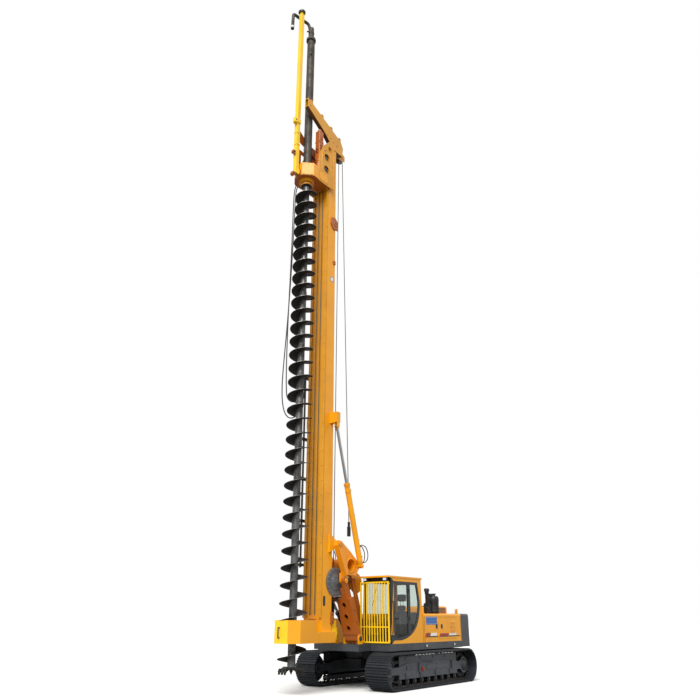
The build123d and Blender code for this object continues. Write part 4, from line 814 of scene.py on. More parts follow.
# House: latches, louvres, seams, stripe and blank plate; what lies on a service door rides with it
houseLook = {
    "wallInset": 0.024,  # hinge knuckles stand this far off the wall
    "doorLatchAt": -0.95, "wallLatchAt": -0.62, "latchHeight": 1.715, "latchHalf": (0.050, 0.065),
    "louvres": 9, "louvreFoot": 1.52, "louvreStep": 0.042, "louvreAlong": (-1.84, -1.50),
    "louvre": [(-0.001, 0), (0.012, -0.012), (0.012, -0.006), (-0.001, 0.012)],
    "seamsAt": (-2.235, 0.125), "seamHalf": 0.006, "seamHeight": (1.27, 2.02),
    "stripeFoot": 1.395, "stripeHigh": 0.030, "doorStripe": (-1.938, -0.720),
    "wallStripes": ((-2.13, -1.958), (-0.675, -0.10)),
    "signs": {"red": (-1.36, -0.80), "white": (-1.88, -1.44), "middle": (-0.60, -0.22)},
    "signFoot": 0.035, "signTop": 0.105, "middleSignTop": 0.125, "signLean": 0.03,
    "flags": (2, 0, 2, 0), "flagAt": (0.05, 0.11), "flagStep": 0.075, "flagHigh": 0.13, "flagLean": 0.055,
    "plateAlong": (-0.66, 0.02), "plateHeight": (1.77, 2.01), "plateLineInset": 0.02,
    "railPath": [(-0.25, 1.40, 2.09), (-0.25, 1.40, 2.30), (-0.25, 1.05, 2.30), (-0.25, 1.05, 2.09)],
    "railRadius": 0.014,
    "grilleBars": 12, "grilleFrom": -2.1, "grilleStep": 0.09, "grilleBar": 0.05,
    "grilleAcross": (-1.25, -0.78), "grilleHeight": (2.096, 2.112),
}


# A flat bar on a side wall, leaning back by the slope
def wallBar(bm, face, along, height, slope=0.0, lift=0.003):
    (low, high), (bottom, top) = along, height
    points = [(low, bottom), (high, bottom), (high - slope, top), (low - slope, top)]
    prism(bm, points, *through(face, 0.001, lift))


def wallLatch(bm, face, cx):
    side = 1 if face > 0 else -1
    cz = houseLook["latchHeight"]
    halfX, halfZ = houseLook["latchHalf"]
    box(bm, (cx - halfX, cx + halfX), through(face, 0.002, 0.012), (cz - halfZ, cz + halfZ), 0.005)
    rod(bm, (cx, face + side * 0.014, cz - 0.03), (cx, face + side * 0.014, cz + 0.03), 0.008, 8)


# The left wall's stripe and signs: slanted flags at its start, bars in red and white, and a blank blue plate
def wallSigns(bm, face):
    look = houseLook
    foot = look["stripeFoot"]
    stripe = (foot, foot + look["stripeHigh"])
    for along in look["wallStripes"]:
        wallBar(bm, face, along, stripe)
    paint(bm, 0)
    for k, index in enumerate(look["flags"]):
        along = [at - look["flagStep"] * k for at in look["flagAt"]]
        wallBar(bm, face, along, (foot, foot + look["flagHigh"]), look["flagLean"], 0.004)
        paint(bm, index)
    height = (foot + look["signFoot"], foot + look["middleSignTop"])
    wallBar(bm, face, look["signs"]["middle"], height, look["signLean"], 0.004)
    paint(bm, 5)
    (low, high), (bottom, top) = look["plateAlong"], look["plateHeight"]
    box(bm, (low, high), (face - 0.001, face + 0.005), (bottom, top), 0.002)
    paint(bm, 4)
    inset = look["plateLineInset"]
    for height in ((top - 0.024, top - 0.018), (bottom + 0.018, bottom + 0.024)):
        box(bm, (low + inset, high - inset), (face + 0.004, face + 0.006), height)
    paint(bm, 5)


def makeHouseFittings():
    look = houseLook
    foot = look["stripeFoot"]
    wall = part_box("engine_housing")[1].y - look["wallInset"]
    paints = [blackPaint, yellow, redPaint, charcoal, bluePaint, whitePaint]
    for side, sideName in ((1, "left"), (-1, "right")):
        face = side * wall
        bm = bmesh.new()
        wallLatch(bm, face, look["doorLatchAt"])
        paint(bm, 0)
        for k in range(look["louvres"]):
            height = look["louvreFoot"] + k * look["louvreStep"]
            points = [(face + side * out, height + up) for out, up in look["louvre"]]
            prism(bm, points, *look["louvreAlong"], "x")
        paint(bm, 1)
        if side > 0:
            wallBar(bm, face, look["doorStripe"], (foot, foot + look["stripeHigh"]))
            paint(bm, 0)
            for name, index in (("red", 2), ("white", 5)):
                height = (foot + look["signFoot"], foot + look["signTop"])
                wallBar(bm, face, look["signs"][name], height, look["signLean"], 0.004)
                paint(bm, index)
        makePiece("serviceDoorFittings_" + sideName, sideName + "_door", paints, bm)

        bm = bmesh.new()
        wallLatch(bm, face, look["wallLatchAt"])
        for cx in look["seamsAt"]:
            wallBar(bm, face, (cx - look["seamHalf"], cx + look["seamHalf"]), look["seamHeight"])
        paint(bm, 0)
        if side > 0:
            wallSigns(bm, face)
            tube(bm, smoothPath(look["railPath"], 4), look["railRadius"], 8)
        else:
            # grille on top of the housing
            for k in range(look["grilleBars"]):
                start = look["grilleFrom"] + k * look["grilleStep"]
                box(bm, (start, start + look["grilleBar"]), look["grilleAcross"], look["grilleHeight"])
        paint(bm, 0)
        makePiece("houseFittings_" + sideName, "house", paints, bm)


# Deck's skirt: round lamps and a row of bolts; profiles are (outward, radius)
skirtShape = {
    "lampsAt": (0.05, -1.72), "lampHeight": 1.15,
    "ring": [(0, 0), (0, 0.052), (0.02, 0.052), (0.024, 0.046)],
    "lens": [(0, 0.046), (0.008, 0.04), (0.012, 0)], "bolts": 10, "boltsFrom": -2.1, "boltStep": 0.42,
    "boltHeight": 1.215,
}


def makeSkirtLights():
    shape = skirtShape
    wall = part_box("deck_frame")[1].y
    bm = bmesh.new()
    for side in (1, -1):
        face = side * wall
        for cx in shape["lampsAt"]:
            lathe(bm, (cx, face - side * 0.002, shape["lampHeight"]), (0, side, 0), shape["ring"], 24)
            paint(bm, 0)
            lathe(bm, (cx, face + side * 0.012, shape["lampHeight"]), (0, side, 0), shape["lens"], 24)
            paint(bm, 1)
        start, step = shape["boltsFrom"], shape["boltStep"]
        places = [(start + k * step, face, shape["boltHeight"]) for k in range(shape["bolts"])]
        boltRow(bm, places, (0, side, 0), 0.010, 0.007)
        paint(bm, 0)
    makePiece("skirtLights", "house", [blackPaint, lampGlass], bm)


# Hood: grilles in the hump's left end and on top, and a handle at its front
hoodShape = {
    "endBars": 7, "endFoot": 2.13, "endStep": 0.027, "endBar": 0.013, "endInset": 0.16,
    "endAcross": (1.050, 1.062), "topBars": 9, "topInset": 0.14, "topStep": 0.062, "topBar": 0.03,
    "topAcross": (-0.40, 0.86), "handleInset": 0.025,
    "handle": [(0.1, 2.10), (0.1, 2.14), (0.4, 2.14), (0.4, 2.10)], "handleRadius": 0.008,
}


def makeHoodFittings():
    shape = hoodShape
    low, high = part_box("engine_hood")
    bm = bmesh.new()
    for k in range(shape["endBars"]):
        foot = shape["endFoot"] + k * shape["endStep"]
        along = (low.x + shape["endInset"], high.x - shape["endInset"])
        box(bm, along, shape["endAcross"], (foot, foot + shape["endBar"]))
    for k in range(shape["topBars"]):
        start = low.x + shape["topInset"] + k * shape["topStep"]
        box(bm, (start, start + shape["topBar"]), shape["topAcross"], (high.z - 0.004, high.z + 0.006))
    handle = [(high.x - shape["handleInset"], cy, cz) for cy, cz in shape["handle"]]
    tube(bm, smoothPath(handle, 4), shape["handleRadius"], 8)
    paint(bm, 0)
    makePiece("hoodFittings", "hood", [blackPaint], bm)


# Counterweight: lifting lugs with loops, and tie rods' ends at the rear
weightShape = {
    "lugAt": (-2.86, 1.0), "lugFoot": -0.03, "lugTop": 0.09, "lugRadius": 0.05, "lugHalf": 0.018,
    "loop": [(-2.92, -0.01), (-2.92, 0.13), (-2.80, 0.13), (-2.80, -0.01)], "loopRadius": 0.022,
    "tiesAt": (-0.55, 0.55), "tieHeight": 1.35, "tie": [(0, 0), (0, 0.05), (0.001, 0.05), (0.001, 0)],
}


def makeCounterweightFittings():
    shape = weightShape
    low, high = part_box("counterweight")
    lugX, lugY = shape["lugAt"]
    bm = bmesh.new()
    for side in (1, -1):
        cy = side * lugY
        foot, top = (lugX, high.z + shape["lugFoot"]), (lugX, high.z + shape["lugTop"])
        lug = roundBar(foot, top, shape["lugRadius"])
        prism(bm, lug, cy - shape["lugHalf"], cy + shape["lugHalf"])
        loop = [(cx, cy, high.z + up) for cx, up in shape["loop"]]
        tube(bm, smoothPath(loop, 6), shape["loopRadius"], 10)
        paint(bm, 1)
    for cy in shape["tiesAt"]:
        lathe(bm, (low.x + 0.001, cy, shape["tieHeight"]), (-1, 0, 0), shape["tie"], 24)
    paint(bm, 0)
    makePiece("counterweightFittings", "house", [blackPaint, yellow], bm)


# Exhaust stack, air cleaner and the pipe between them; profiles are (height above the housing, radius)
exhaustShape = {
    "foot": 2.098, "stackAt": (-0.78, 1.07), "cleanerAt": (-1.10, 1.13),
    "stack": [
        (0, 0), (0, 0.085), (0.02, 0.085), (0.02, 0.060), (0.62, 0.060), (0.64, 0.072), (0.70, 0.072),
        (0.72, 0.094), (0.79, 0.090), (0.808, 0.06), (0.81, 0),
    ],
    "cleaner": [
        (0, 0), (0, 0.15), (0.05, 0.18), (0.09, 0.184), (0.12, 0.176), (0.40, 0.176), (0.42, 0.184),
        (0.50, 0.182), (0.56, 0.15), (0.57, 0.07), (0.60, 0.065), (0.62, 0.10), (0.645, 0.095), (0.65, 0),
    ],
    "pipe": [(-0.80, 1.075, 2.66), (-0.88, 1.09, 2.70), (-0.98, 1.11, 2.68), (-1.04, 1.12, 2.60)],
    "pipeRadius": 0.045, "bandsAt": (2.25, 2.48),
    "band": [(0, 0.176), (0, 0.184), (0.03, 0.184), (0.03, 0.176)],
    "jacket": ((-0.92, -0.66), (0.98, 1.17), (2.098, 2.44), 0.03),
    "bracket": ((-1.26, -0.70), (1.05, 1.09), (2.20, 2.24), 0.004),
}


def makeExhaust():
    shape = exhaustShape
    up = (0, 0, 1)
    bm = bmesh.new()
    lathe(bm, (*shape["stackAt"], shape["foot"]), up, shape["stack"], 28)
    lathe(bm, (*shape["cleanerAt"], shape["foot"]), up, shape["cleaner"], 36)
    tube(bm, smoothPath(shape["pipe"], 5), shape["pipeRadius"], 12)
    for height in shape["bandsAt"]:
        lathe(bm, (*shape["cleanerAt"], height), up, shape["band"], 36)
    box(bm, *shape["jacket"])
    box(bm, *shape["bracket"])
    paint(bm, 0)
    makePiece("exhaustAndCleaner", "house", [heatBlack], bm, ("exhaust_stack",))


makeHouseFittings()
makeSkirtLights()
makeHoodFittings()
makeCounterweightFittings()
makeExhaust()
print("house made")

# Cab: lining, controls, seals, rail, handle and wiper; boxes are (x, y, z) spans, heights are the machine's
cabShape = {
    "floorMat": ((0.30, 1.88), (0.49, 1.43), (1.255, 1.27)),
    "ceiling": ((0.30, 1.84), (0.49, 1.43), (3.035, 3.075)),
    "rearPanel": ((0.285, 0.33), (0.50, 1.42), (1.28, 2.13)), "consolesAt": (0.62, 1.28),
    "consoleAlong": (0.72, 1.30), "consoleHalf": 0.085, "consoleHeight": (1.52, 1.80),
    "leverAt": (1.20, 1.79),
    "lever": [
        (0, 0), (0, 0.045), (0.05, 0.022), (0.06, 0.028), (0.10, 0.014), (0.17, 0.014), (0.18, 0.026),
        (0.28, 0.022), (0.29, 0),
    ],
    "pedalsAt": (0.88, 1.04), "pedal": [(1.58, 1.27), (1.74, 1.33), (1.74, 1.345), (1.57, 1.285)],
    "pedalHalf": 0.055, "travelLever": [(1.66, 1.30), (1.62, 1.60), (1.52, 1.86)], "travelLeverRadius": 0.011,
    "grip": [(0, 0), (0, 0.02), (0.10, 0.018), (0.11, 0)], "gripFoot": (1.52, 1.85), "gripLean": (-0.3, 0, 1),
    "monitor": ((1.66, 1.71), (0.52, 0.78), (1.82, 2.02)),
    "screen": [(1.655, 0.54), (1.659, 0.54), (1.659, 0.76), (1.655, 0.76)], "screenHeight": (1.84, 2.00),
    "sealsAt": (0.445, 1.475), "seal": [(1.965, 1.40), (1.945, 2.2), (1.925, 3.06)], "sealRadius": 0.022,
    "topSeal": ((1.86, 1.925), (0.45, 1.47), (3.05, 3.10)),
    "rail": [
        (1.935, 1.50, 1.55), (1.95, 1.535, 1.58), (1.935, 1.54, 1.9), (1.92, 1.54, 2.35), (1.91, 1.535, 2.42),
        (1.90, 1.50, 2.45),
    ],
    "railRadius": 0.013, "doorHandle": ((1.60, 1.76), (1.488, 1.505), (1.92, 1.97)),
    "wiperArm": [(1.94, 0.96, 2.98), (1.945, 0.85, 2.6), (1.95, 0.75, 2.25)], "wiperRadius": 0.007,
    "wiperBlade": ((1.955, 1.962), (0.73, 0.77), (1.95, 2.55)),
}


def makeCabFittings():
    shape = cabShape
    bm = bmesh.new()
    box(bm, *shape["floorMat"])
    box(bm, *shape["ceiling"], 0.01)
    box(bm, *shape["rearPanel"], 0.008)
    for cy in shape["consolesAt"]:
        across = (cy - shape["consoleHalf"], cy + shape["consoleHalf"])
        box(bm, shape["consoleAlong"], across, shape["consoleHeight"], 0.02)
        lathe(bm, (shape["leverAt"][0], cy, shape["leverAt"][1]), (0, 0, 1), shape["lever"], 16)
    for cy in shape["pedalsAt"]:
        prism(bm, shape["pedal"], cy - shape["pedalHalf"], cy + shape["pedalHalf"])
        lever = [(cx, cy, cz) for cx, cz in shape["travelLever"]]
        tube(bm, smoothPath(lever, 5), shape["travelLeverRadius"], 8)
        lathe(bm, (shape["gripFoot"][0], cy, shape["gripFoot"][1]), shape["gripLean"], shape["grip"], 12)
    box(bm, *shape["monitor"], 0.012)
    paint(bm, 0)
    prism(bm, shape["screen"], *shape["screenHeight"], "z")
    paint(bm, 2)
    for cy in shape["sealsAt"]:
        tube(bm, [(cx, cy, cz) for cx, cz in shape["seal"]], shape["sealRadius"], 6)
    box(bm, *shape["topSeal"], 0.006)
    tube(bm, smoothPath(shape["rail"], 5), shape["railRadius"], 8)
    box(bm, *shape["doorHandle"], 0.005)
    tube(bm, shape["wiperArm"], shape["wiperRadius"], 6)
    box(bm, *shape["wiperBlade"])
    paint(bm, 1)
    makePiece("cabFittings", "house", [liningPlastic, sealRubber, screenGlass], bm)


# Seat: crowned cushions seen from the side as (x, z), each across (from, to), on a box with two armrests
seatShape = {
    "base": ((0.70, 1.20), (0.75, 1.19), (1.26, 1.50)),
    # corners, their radius, the span across and how much the sides pull in
    "cushions": (
        ([(0.72, 1.50), (1.22, 1.52), (1.23, 1.64), (0.72, 1.63)], 0.05, (0.73, 1.21), 0.18),
        ([(0.62, 1.56), (0.76, 1.56), (0.69, 2.18), (0.575, 2.18)], 0.05, (0.73, 1.21), 0.18),
        ([(0.60, 2.17), (0.68, 2.17), (0.66, 2.345), (0.575, 2.345)], 0.03, (0.84, 1.10), 0.2),
        ([(0.565, 2.46), (0.665, 2.46), (0.65, 2.68), (0.56, 2.68)], 0.03, (0.82, 1.12), 0.2),
    ),
    "rings": 10, "cornerSteps": 5,
    "headrestRods": (0.92, 1.02), "headrestRod": ((0.615, 2.30), (0.61, 2.50)), "headrestRodRadius": 0.009,
    "armrestsAt": (0.745, 1.195), "armrestAlong": (0.74, 1.06), "armrestHalf": 0.022,
    "armrestHeight": (1.76, 1.80),
}


# An outline with its corners rounded
def roundedOutline(corners, radius):
    steps = seatShape["cornerSteps"]
    points = []
    for i, corner in enumerate(corners):
        here = Vector(corner)
        before = (Vector(corners[i - 1]) - here).normalized()
        after = (Vector(corners[(i + 1) % len(corners)]) - here).normalized()
        start, end = here + before * radius, here + after * radius
        for k in range(steps + 1):
            t = k / steps
            points.append(tuple(start * (1 - t) ** 2 + here * 2 * t * (1 - t) + end * t ** 2))
    return points


def makeCushion(bm, corners, radius, across, crown):
    points = roundedOutline(corners, radius)
    low, high = across
    middleX, middleZ = (sum(p[axis] for p in points) / len(points) for axis in (0, 1))
    rings = []
    for k in range(seatShape["rings"] + 1):
        share = k / seatShape["rings"]
        grow = 1 - crown * (2 * share - 1) ** 4
        depth = low + (high - low) * share
        rings.append([
            bm.verts.new((middleX + (px - middleX) * grow, depth, middleZ + (pz - middleZ) * grow))
            for px, pz in points
        ])
    for first, second in zip(rings, rings[1:]):
        loopFaces(bm, first, second)
    bm.faces.new(rings[0])
    bm.faces.new(rings[-1])


def makeSeat():
    shape = seatShape
    bm = bmesh.new()
    box(bm, *shape["base"], 0.03)
    paint(bm, 1)
    for corners, radius, across, crown in shape["cushions"]:
        makeCushion(bm, corners, radius, across, crown)
    paint(bm, 0)
    (lowX, lowZ), (highX, highZ) = shape["headrestRod"]
    for cy in shape["headrestRods"]:
        rod(bm, (lowX, cy, lowZ), (highX, cy, highZ), shape["headrestRodRadius"], 8)
    for cy in shape["armrestsAt"]:
        across = (cy - shape["armrestHalf"], cy + shape["armrestHalf"])
        box(bm, shape["armrestAlong"], across, shape["armrestHeight"], 0.015)
    paint(bm, 1)
    makePiece("seatCushions", "house", [seatCloth, liningPlastic], bm, ("driver_seat",))


# Work lamps under the roof's front edge
roofShape = {"lampsAt": (0.62, 1.38), "lampHalf": 0.075, "lensHalf": 0.06}


def makeRoofFittings():
    low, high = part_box("cab_roof")
    front, under = high.x, low.z
    bm = bmesh.new()
    for cy in roofShape["lampsAt"]:
        half = roofShape["lampHalf"]
        box(bm, (front - 0.07, front - 0.005), (cy - half, cy + half), (under - 0.10, under - 0.002), 0.012)
        paint(bm, 0)
        half = roofShape["lensHalf"]
        box(bm, (front - 0.008, front - 0.001), (cy - half, cy + half), (under - 0.09, under - 0.015), 0.003)
        paint(bm, 1)
    makePiece("roofFittings", "house", [blackPaint, lampGlass], bm)


makeCabFittings()
makeSeat()
makeRoofFittings()
print("cab made")


# Linkage: pin keepers, rims round the arm's holes and rings, on the joints' own places
def jointRow(name):
    return next(joint for joint in frame["joints"] if joint["name"] == name)


linkageShape = {
    "deckPins": (("boom_luff", 0.752, 0.075), ("link_swing", 0.346, 0.06)),  # joint, end face, radius
    "framePins": (
        ("frame_level", 0.640, 0.075), ("mast_tilt", 0.641, 0.075), ("mast_barrel_swing", 0.665, 0.072),
    ),
    "tread": [(0, 0.012), (0.004, 0.008), (0.004, 0)], "treadFrom": (2.20, -0.165, 1.25),
    "treadStep": (0.08, 0.055), "treads": (6, 7),
    "tubeEnd": (2.69, 0.50, 3.48),
    "tubeRing": [(-0.004, 0.190), (-0.004, 0.232), (0.010, 0.232), (0.012, 0.228), (0.012, 0.190)],
    "holesAt": (0.2, 0.4, 0.6), "holeAcross": 0.47, "holeOut": 0.12,
    "holeRim": [(-0.003, 0.070), (-0.003, 0.092), (0.006, 0.090), (0.006, 0.070)],
    "clipsAt": (0.3, 0.5), "clipAcross": 0.72, "clipHalf": (0.03, 0.02), "clipThick": 0.025,
}


def makeLinkageFittings():
    shape = linkageShape
    bm = bmesh.new()
    for side in (1, -1):
        for name, across, radius in shape["deckPins"]:
            at = jointRow(name)["pos_m"]
            pinCap(bm, at[0], at[2], side * across, radius)
    # anti-slip studs on the deck's nose
    (startX, startY, height), (stepX, stepY) = shape["treadFrom"], shape["treadStep"]
    for k in range(shape["treads"][0]):
        for j in range(shape["treads"][1]):
            lathe(bm, (startX + k * stepX, startY + j * stepY, height), (0, 0, 1), shape["tread"], 6)
    paint(bm, 0)
    makePiece("deckPins", "house", [charcoal], bm)

    bm = bmesh.new()
    for side in (1, -1):
        for name, across, radius in shape["framePins"]:
            at = jointRow(name)["pos_m"]
            pinCap(bm, at[0], at[2], side * across, radius)
        # flanged ring in the torque tube's end
        cx, cy, cz = shape["tubeEnd"]
        lathe(bm, (cx, side * cy, cz), (0, side, 0), shape["tubeRing"], 48)
    paint(bm, 0)
    makePiece("framePins", "triangle", [yellowDeep], bm)

    foot, head = jointRow("boom_luff")["pos_m"], jointRow("frame_level")["pos_m"]
    reachX, reachZ = head[0] - foot[0], head[2] - foot[2]
    length = hypot(reachX, reachZ)
    along = Vector((reachX / length, 0, reachZ / length))
    out = Vector((reachZ / length, 0, -reachX / length))
    halfX, halfZ = shape["clipHalf"]
    bm = bmesh.new()
    for side in (1, -1):
        for share in shape["holesAt"]:
            base = Vector((foot[0], side * shape["holeAcross"], foot[2]))
            lathe(bm, base + along * (share * length) + out * shape["holeOut"], out, shape["holeRim"], 32)
        for share in shape["clipsAt"]:
            at = Vector((foot[0], side * shape["clipAcross"], foot[2])) + along * (share * length)
            across = through(at.y, 0.002, shape["clipThick"])
            box(bm, (at.x - halfX, at.x + halfX), across, (at.z - halfZ, at.z + halfZ), 0.005)
    paint(bm, 0)
    # Rims and clips in the arms' brown-orange, their painted shade
    makePiece("armFittings", "boom", [orangeAndPaintedShade], bm)


# Cylinders: gland rings with bolts, a hard pipe in two clamps and a block at each of its ends
cylinderShape = {
    "mast": {
        "node": "mast_cylinder_barrels", "body": "mast_barrels", "joint": "mast_barrel_swing",
        "radius": 0.088, "across": 0.6, "paint": yellow,
    },
    # The luffing cylinders' black is painted shade; their fittings take it too
    "luffing": {
        "node": "luffing_cylinder_barrels", "body": "luff_barrels", "joint": "luffing_barrel_swing",
        "radius": 0.072, "across": 0.135, "paint": blackPaint,
    },
    "topInset": 0.03, "ringHigh": 0.035, "ringSink": 0.002,
    "pipeOut": 0.028, "pipeInset": (0.28, 0.26), "pipeRadius": 0.013,
    "clampsAt": (0.3, 0.6), "clampOut": 0.016, "clampHalf": (0.025, 0.03, 0.02),
    "blockInset": (0.26, 0.25), "blockOut": 0.018, "blockHalf": (0.035, 0.035, 0.035),
    # two bent pipes at a mast cylinder's foot: how far aside and how far out
    "bends": ((-0.035, 0.30), (0.035, 0.38)), "bendRadius": 0.014,
}


def makeCylinderFittings(which):
    shape, own = cylinderShape, cylinderShape[which]
    radius = own["radius"]
    foot = jointRow(own["joint"])["pos_m"]
    slide = next(joint for joint in frame["joints"] if joint["parent"] == own["body"])
    direction = Vector(slide["axis"]).normalized()
    outward = Vector((-direction.z, 0, direction.x))
    length = (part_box(own["node"])[1].z - foot[2]) / direction.z - shape["topInset"]
    bm = bmesh.new()
    for side in (1, -1):
        base = Vector((foot[0], side * own["across"], foot[2]))
        for start, grow in ((length - 0.10, 0.016), (length - 0.30, 0.010), (0.16, 0.010)):
            inner, outer = radius - shape["ringSink"], radius + grow
            ring = [(0, inner), (0, outer), (shape["ringHigh"], outer), (shape["ringHigh"], inner)]
            lathe(bm, base + direction * start, direction, ring, 32)
        bolts(bm, base + direction * (length - 0.065), direction, radius + 0.006, 8, 0.008, 0.010)
        lift = outward * (radius + shape["pipeOut"])
        low, high = shape["pipeInset"]
        pipe = [base + direction * low + lift, base + direction * (length - high) + lift]
        tube(bm, pipe, shape["pipeRadius"], 8)
        for share in shape["clampsAt"]:
            at = base + direction * (length * share) + outward * (radius + shape["clampOut"])
            block(bm, at, shape["clampHalf"], 0.005)
        low, high = shape["blockInset"]
        for start in (low, length - high):
            at = base + direction * start + outward * (radius + shape["blockOut"])
            block(bm, at, shape["blockHalf"], 0.008)
    paint(bm, 0)
    if which == "mast":
        # bent pipes from the foot's block round to the port above it
        for side in (1, -1):
            base = Vector((foot[0], side * own["across"], foot[2]))
            for shift, reach in shape["bends"]:
                path = [
                    (0.55, radius), (0.60, radius + 0.10), (0.50, reach), (0.30, reach + 0.06),
                    (0.12, reach - 0.02), (0.06, radius + 0.10), (0.10, radius),
                ]
                points = [base + Vector((0, shift, 0)) + direction * a + outward * b for a, b in path]
                tube(bm, smoothPath(points, 6), shape["bendRadius"], 8)
        paint(bm, 1)
    makePiece(own["node"] + "Fittings", own["body"], [own["paint"], heatBlack], bm)


# Winches: bolted hubs on the main one and the ropes' turns on both drums; profiles are (outward, radius)
winchShape = {
    "hubFace": 0.39,
    "rim": [(-0.002, 0.418), (0.003, 0.418), (0.003, 0.400), (-0.002, 0.400)],
    "flange": [
        (-0.002, 0.392), (0.004, 0.392), (0.006, 0.388), (0.006, 0.335), (0.002, 0.33), (-0.002, 0.33),
    ],
    "hub": [(-0.002, 0.24), (0.006, 0.24), (0.010, 0.225), (0.011, 0.16), (0.024, 0.155), (0.026, 0.142)],
    # outward place, ring radius, count, bolt radius and height
    "bolts": ((0.005, 0.362, 16, 0.017, 0.012), (0.010, 0.192, 12, 0.015, 0.012)),
    # piece, body, joint, drum radius and half of the wound width
    "drums": (
        ("mainRopeTurns", "main_drum", "main_winch_spin", 0.200, 0.33),
        ("auxRopeTurns", "aux_drum", "aux_winch_spin", 0.150, 0.20),
    ),
    "ropePitch": 0.030, "rope": 0.0135, "ropeLift": 0.012, "stepsPerTurn": 28,
}


def makeWinchDetails():
    shape = winchShape
    cx, _, cz = jointRow("main_winch_spin")["pos_m"]
    bm = bmesh.new()
    for side in (1, -1):
        out = (0, side, 0)
        origin = (cx, side * shape["hubFace"], cz)
        lathe(bm, origin, out, shape["rim"], 64)
        paint(bm, 1)
        lathe(bm, origin, out, shape["flange"], 64)
        lathe(bm, origin, out, shape["hub"], 48)
        paint(bm, 0)
        for outward, *ring in shape["bolts"]:
            bolts(bm, (cx, origin[1] + side * outward, cz), out, *ring)
        paint(bm, 2)
    makePiece("winchHubs", "mast", [winchGrey, winchRim, zincBolts], bm)
    pitch, steps = shape["ropePitch"], shape["stepsPerTurn"]
    for name, body, joint, drum, half in shape["drums"]:
        cx, _, cz = jointRow(joint)["pos_m"]
        radius = drum + shape["ropeLift"]
        path = []
        for k in range(int(2 * half / pitch) * steps + 1):
            angle = 2 * pi * k / steps
            across = -half + pitch * k / steps + pitch / 2
            path.append((cx + radius * cos(angle), across, cz + radius * sin(angle)))
        bm = bmesh.new()
        tube(bm, path, shape["rope"], 6)
        paint(bm, 0)
        makePiece(name, body, [ropeWire], bm)


makeLinkageFittings()
makeCylinderFittings("mast")
makeCylinderFittings("luffing")
makeWinchDetails()
print("linkage made")

# Cathead: grooved sheaves, ropes over them, keepers, and lugs with pins along the arm's upper edge
catheadShape = {
    "sheaveHalf": 0.022, "sheaveBore": 0.0354, "groove": 0.022,
    "mainSheave": ((3.205, 0.12, 19.34), 0.2), "rearSheave": ((0.2, 0.0, 19.31), 0.2),
    "tipSheave": ((5.05, 0.295, 20.35), 0.105),
    "ropeRadius": 0.2145, "ropeThick": 0.013, "ropeSteps": 16, "ropeEnds": (0.12 * pi, 0.2 * pi),
    "tipKeepers": ((1, 0.375), (-1, 0.215)),
    "tipKeeper": [(-0.002, 0), (-0.002, 0.055), (0.008, 0.055), (0.010, 0)],
    "keepersAt": ((3.2, 19.34), (2.84, 19.31)), "keeperFaces": ((1, 0.185), (-1, -0.065)),
    "keeper": [(-0.002, 0), (-0.002, 0.06), (0.010, 0.06), (0.012, 0)],
    "topBolts": (3.50, 3.62, 3.74, 3.86), "topBoltAcross": 0.30, "topBoltHeight": 19.32,
    "armFoot": (3.20, 19.79), "armTip": (5.20, 20.60), "lugsAt": (0.04, 0.30, 0.58, 0.90),
    "lug": [(-0.10, -0.02), (-0.07, 0.08), (-0.03, 0.12), (0.03, 0.12), (0.07, 0.08), (0.10, -0.02)],
    "lugDepths": (0.218, 0.356), "lugThick": 0.016, "lugPinUp": 0.07, "lugPinAcross": (0.212, 0.380),
    "lugPin": 0.024, "sideBolts": (3.45, 3.65, 3.85, 4.05), "sideBoltFace": 0.375,
    "sideBoltLine": (3.55, 19.42, 0.28),
}


# Rim with a rope groove, a thin web and a boss
def groovedSheave(bm, centre, radius):
    half, bore = catheadShape["sheaveHalf"], catheadShape["sheaveBore"]
    web, rimFoot, boss = half * 0.4, radius * 0.82, bore + 0.04
    profile = [
        (-half, bore), (-half, boss), (-web, boss + 0.005), (-web, radius * 0.78), (-half, rimFoot),
        (-half, radius), (-half * 0.8, radius), (0, radius - catheadShape["groove"]), (half * 0.8, radius),
        (half, radius), (half, rimFoot), (web, radius * 0.78), (web, boss + 0.005), (half, boss),
        (half, bore), (-half, bore),
    ]
    lathe(bm, centre, (0, 1, 0), profile, 40)


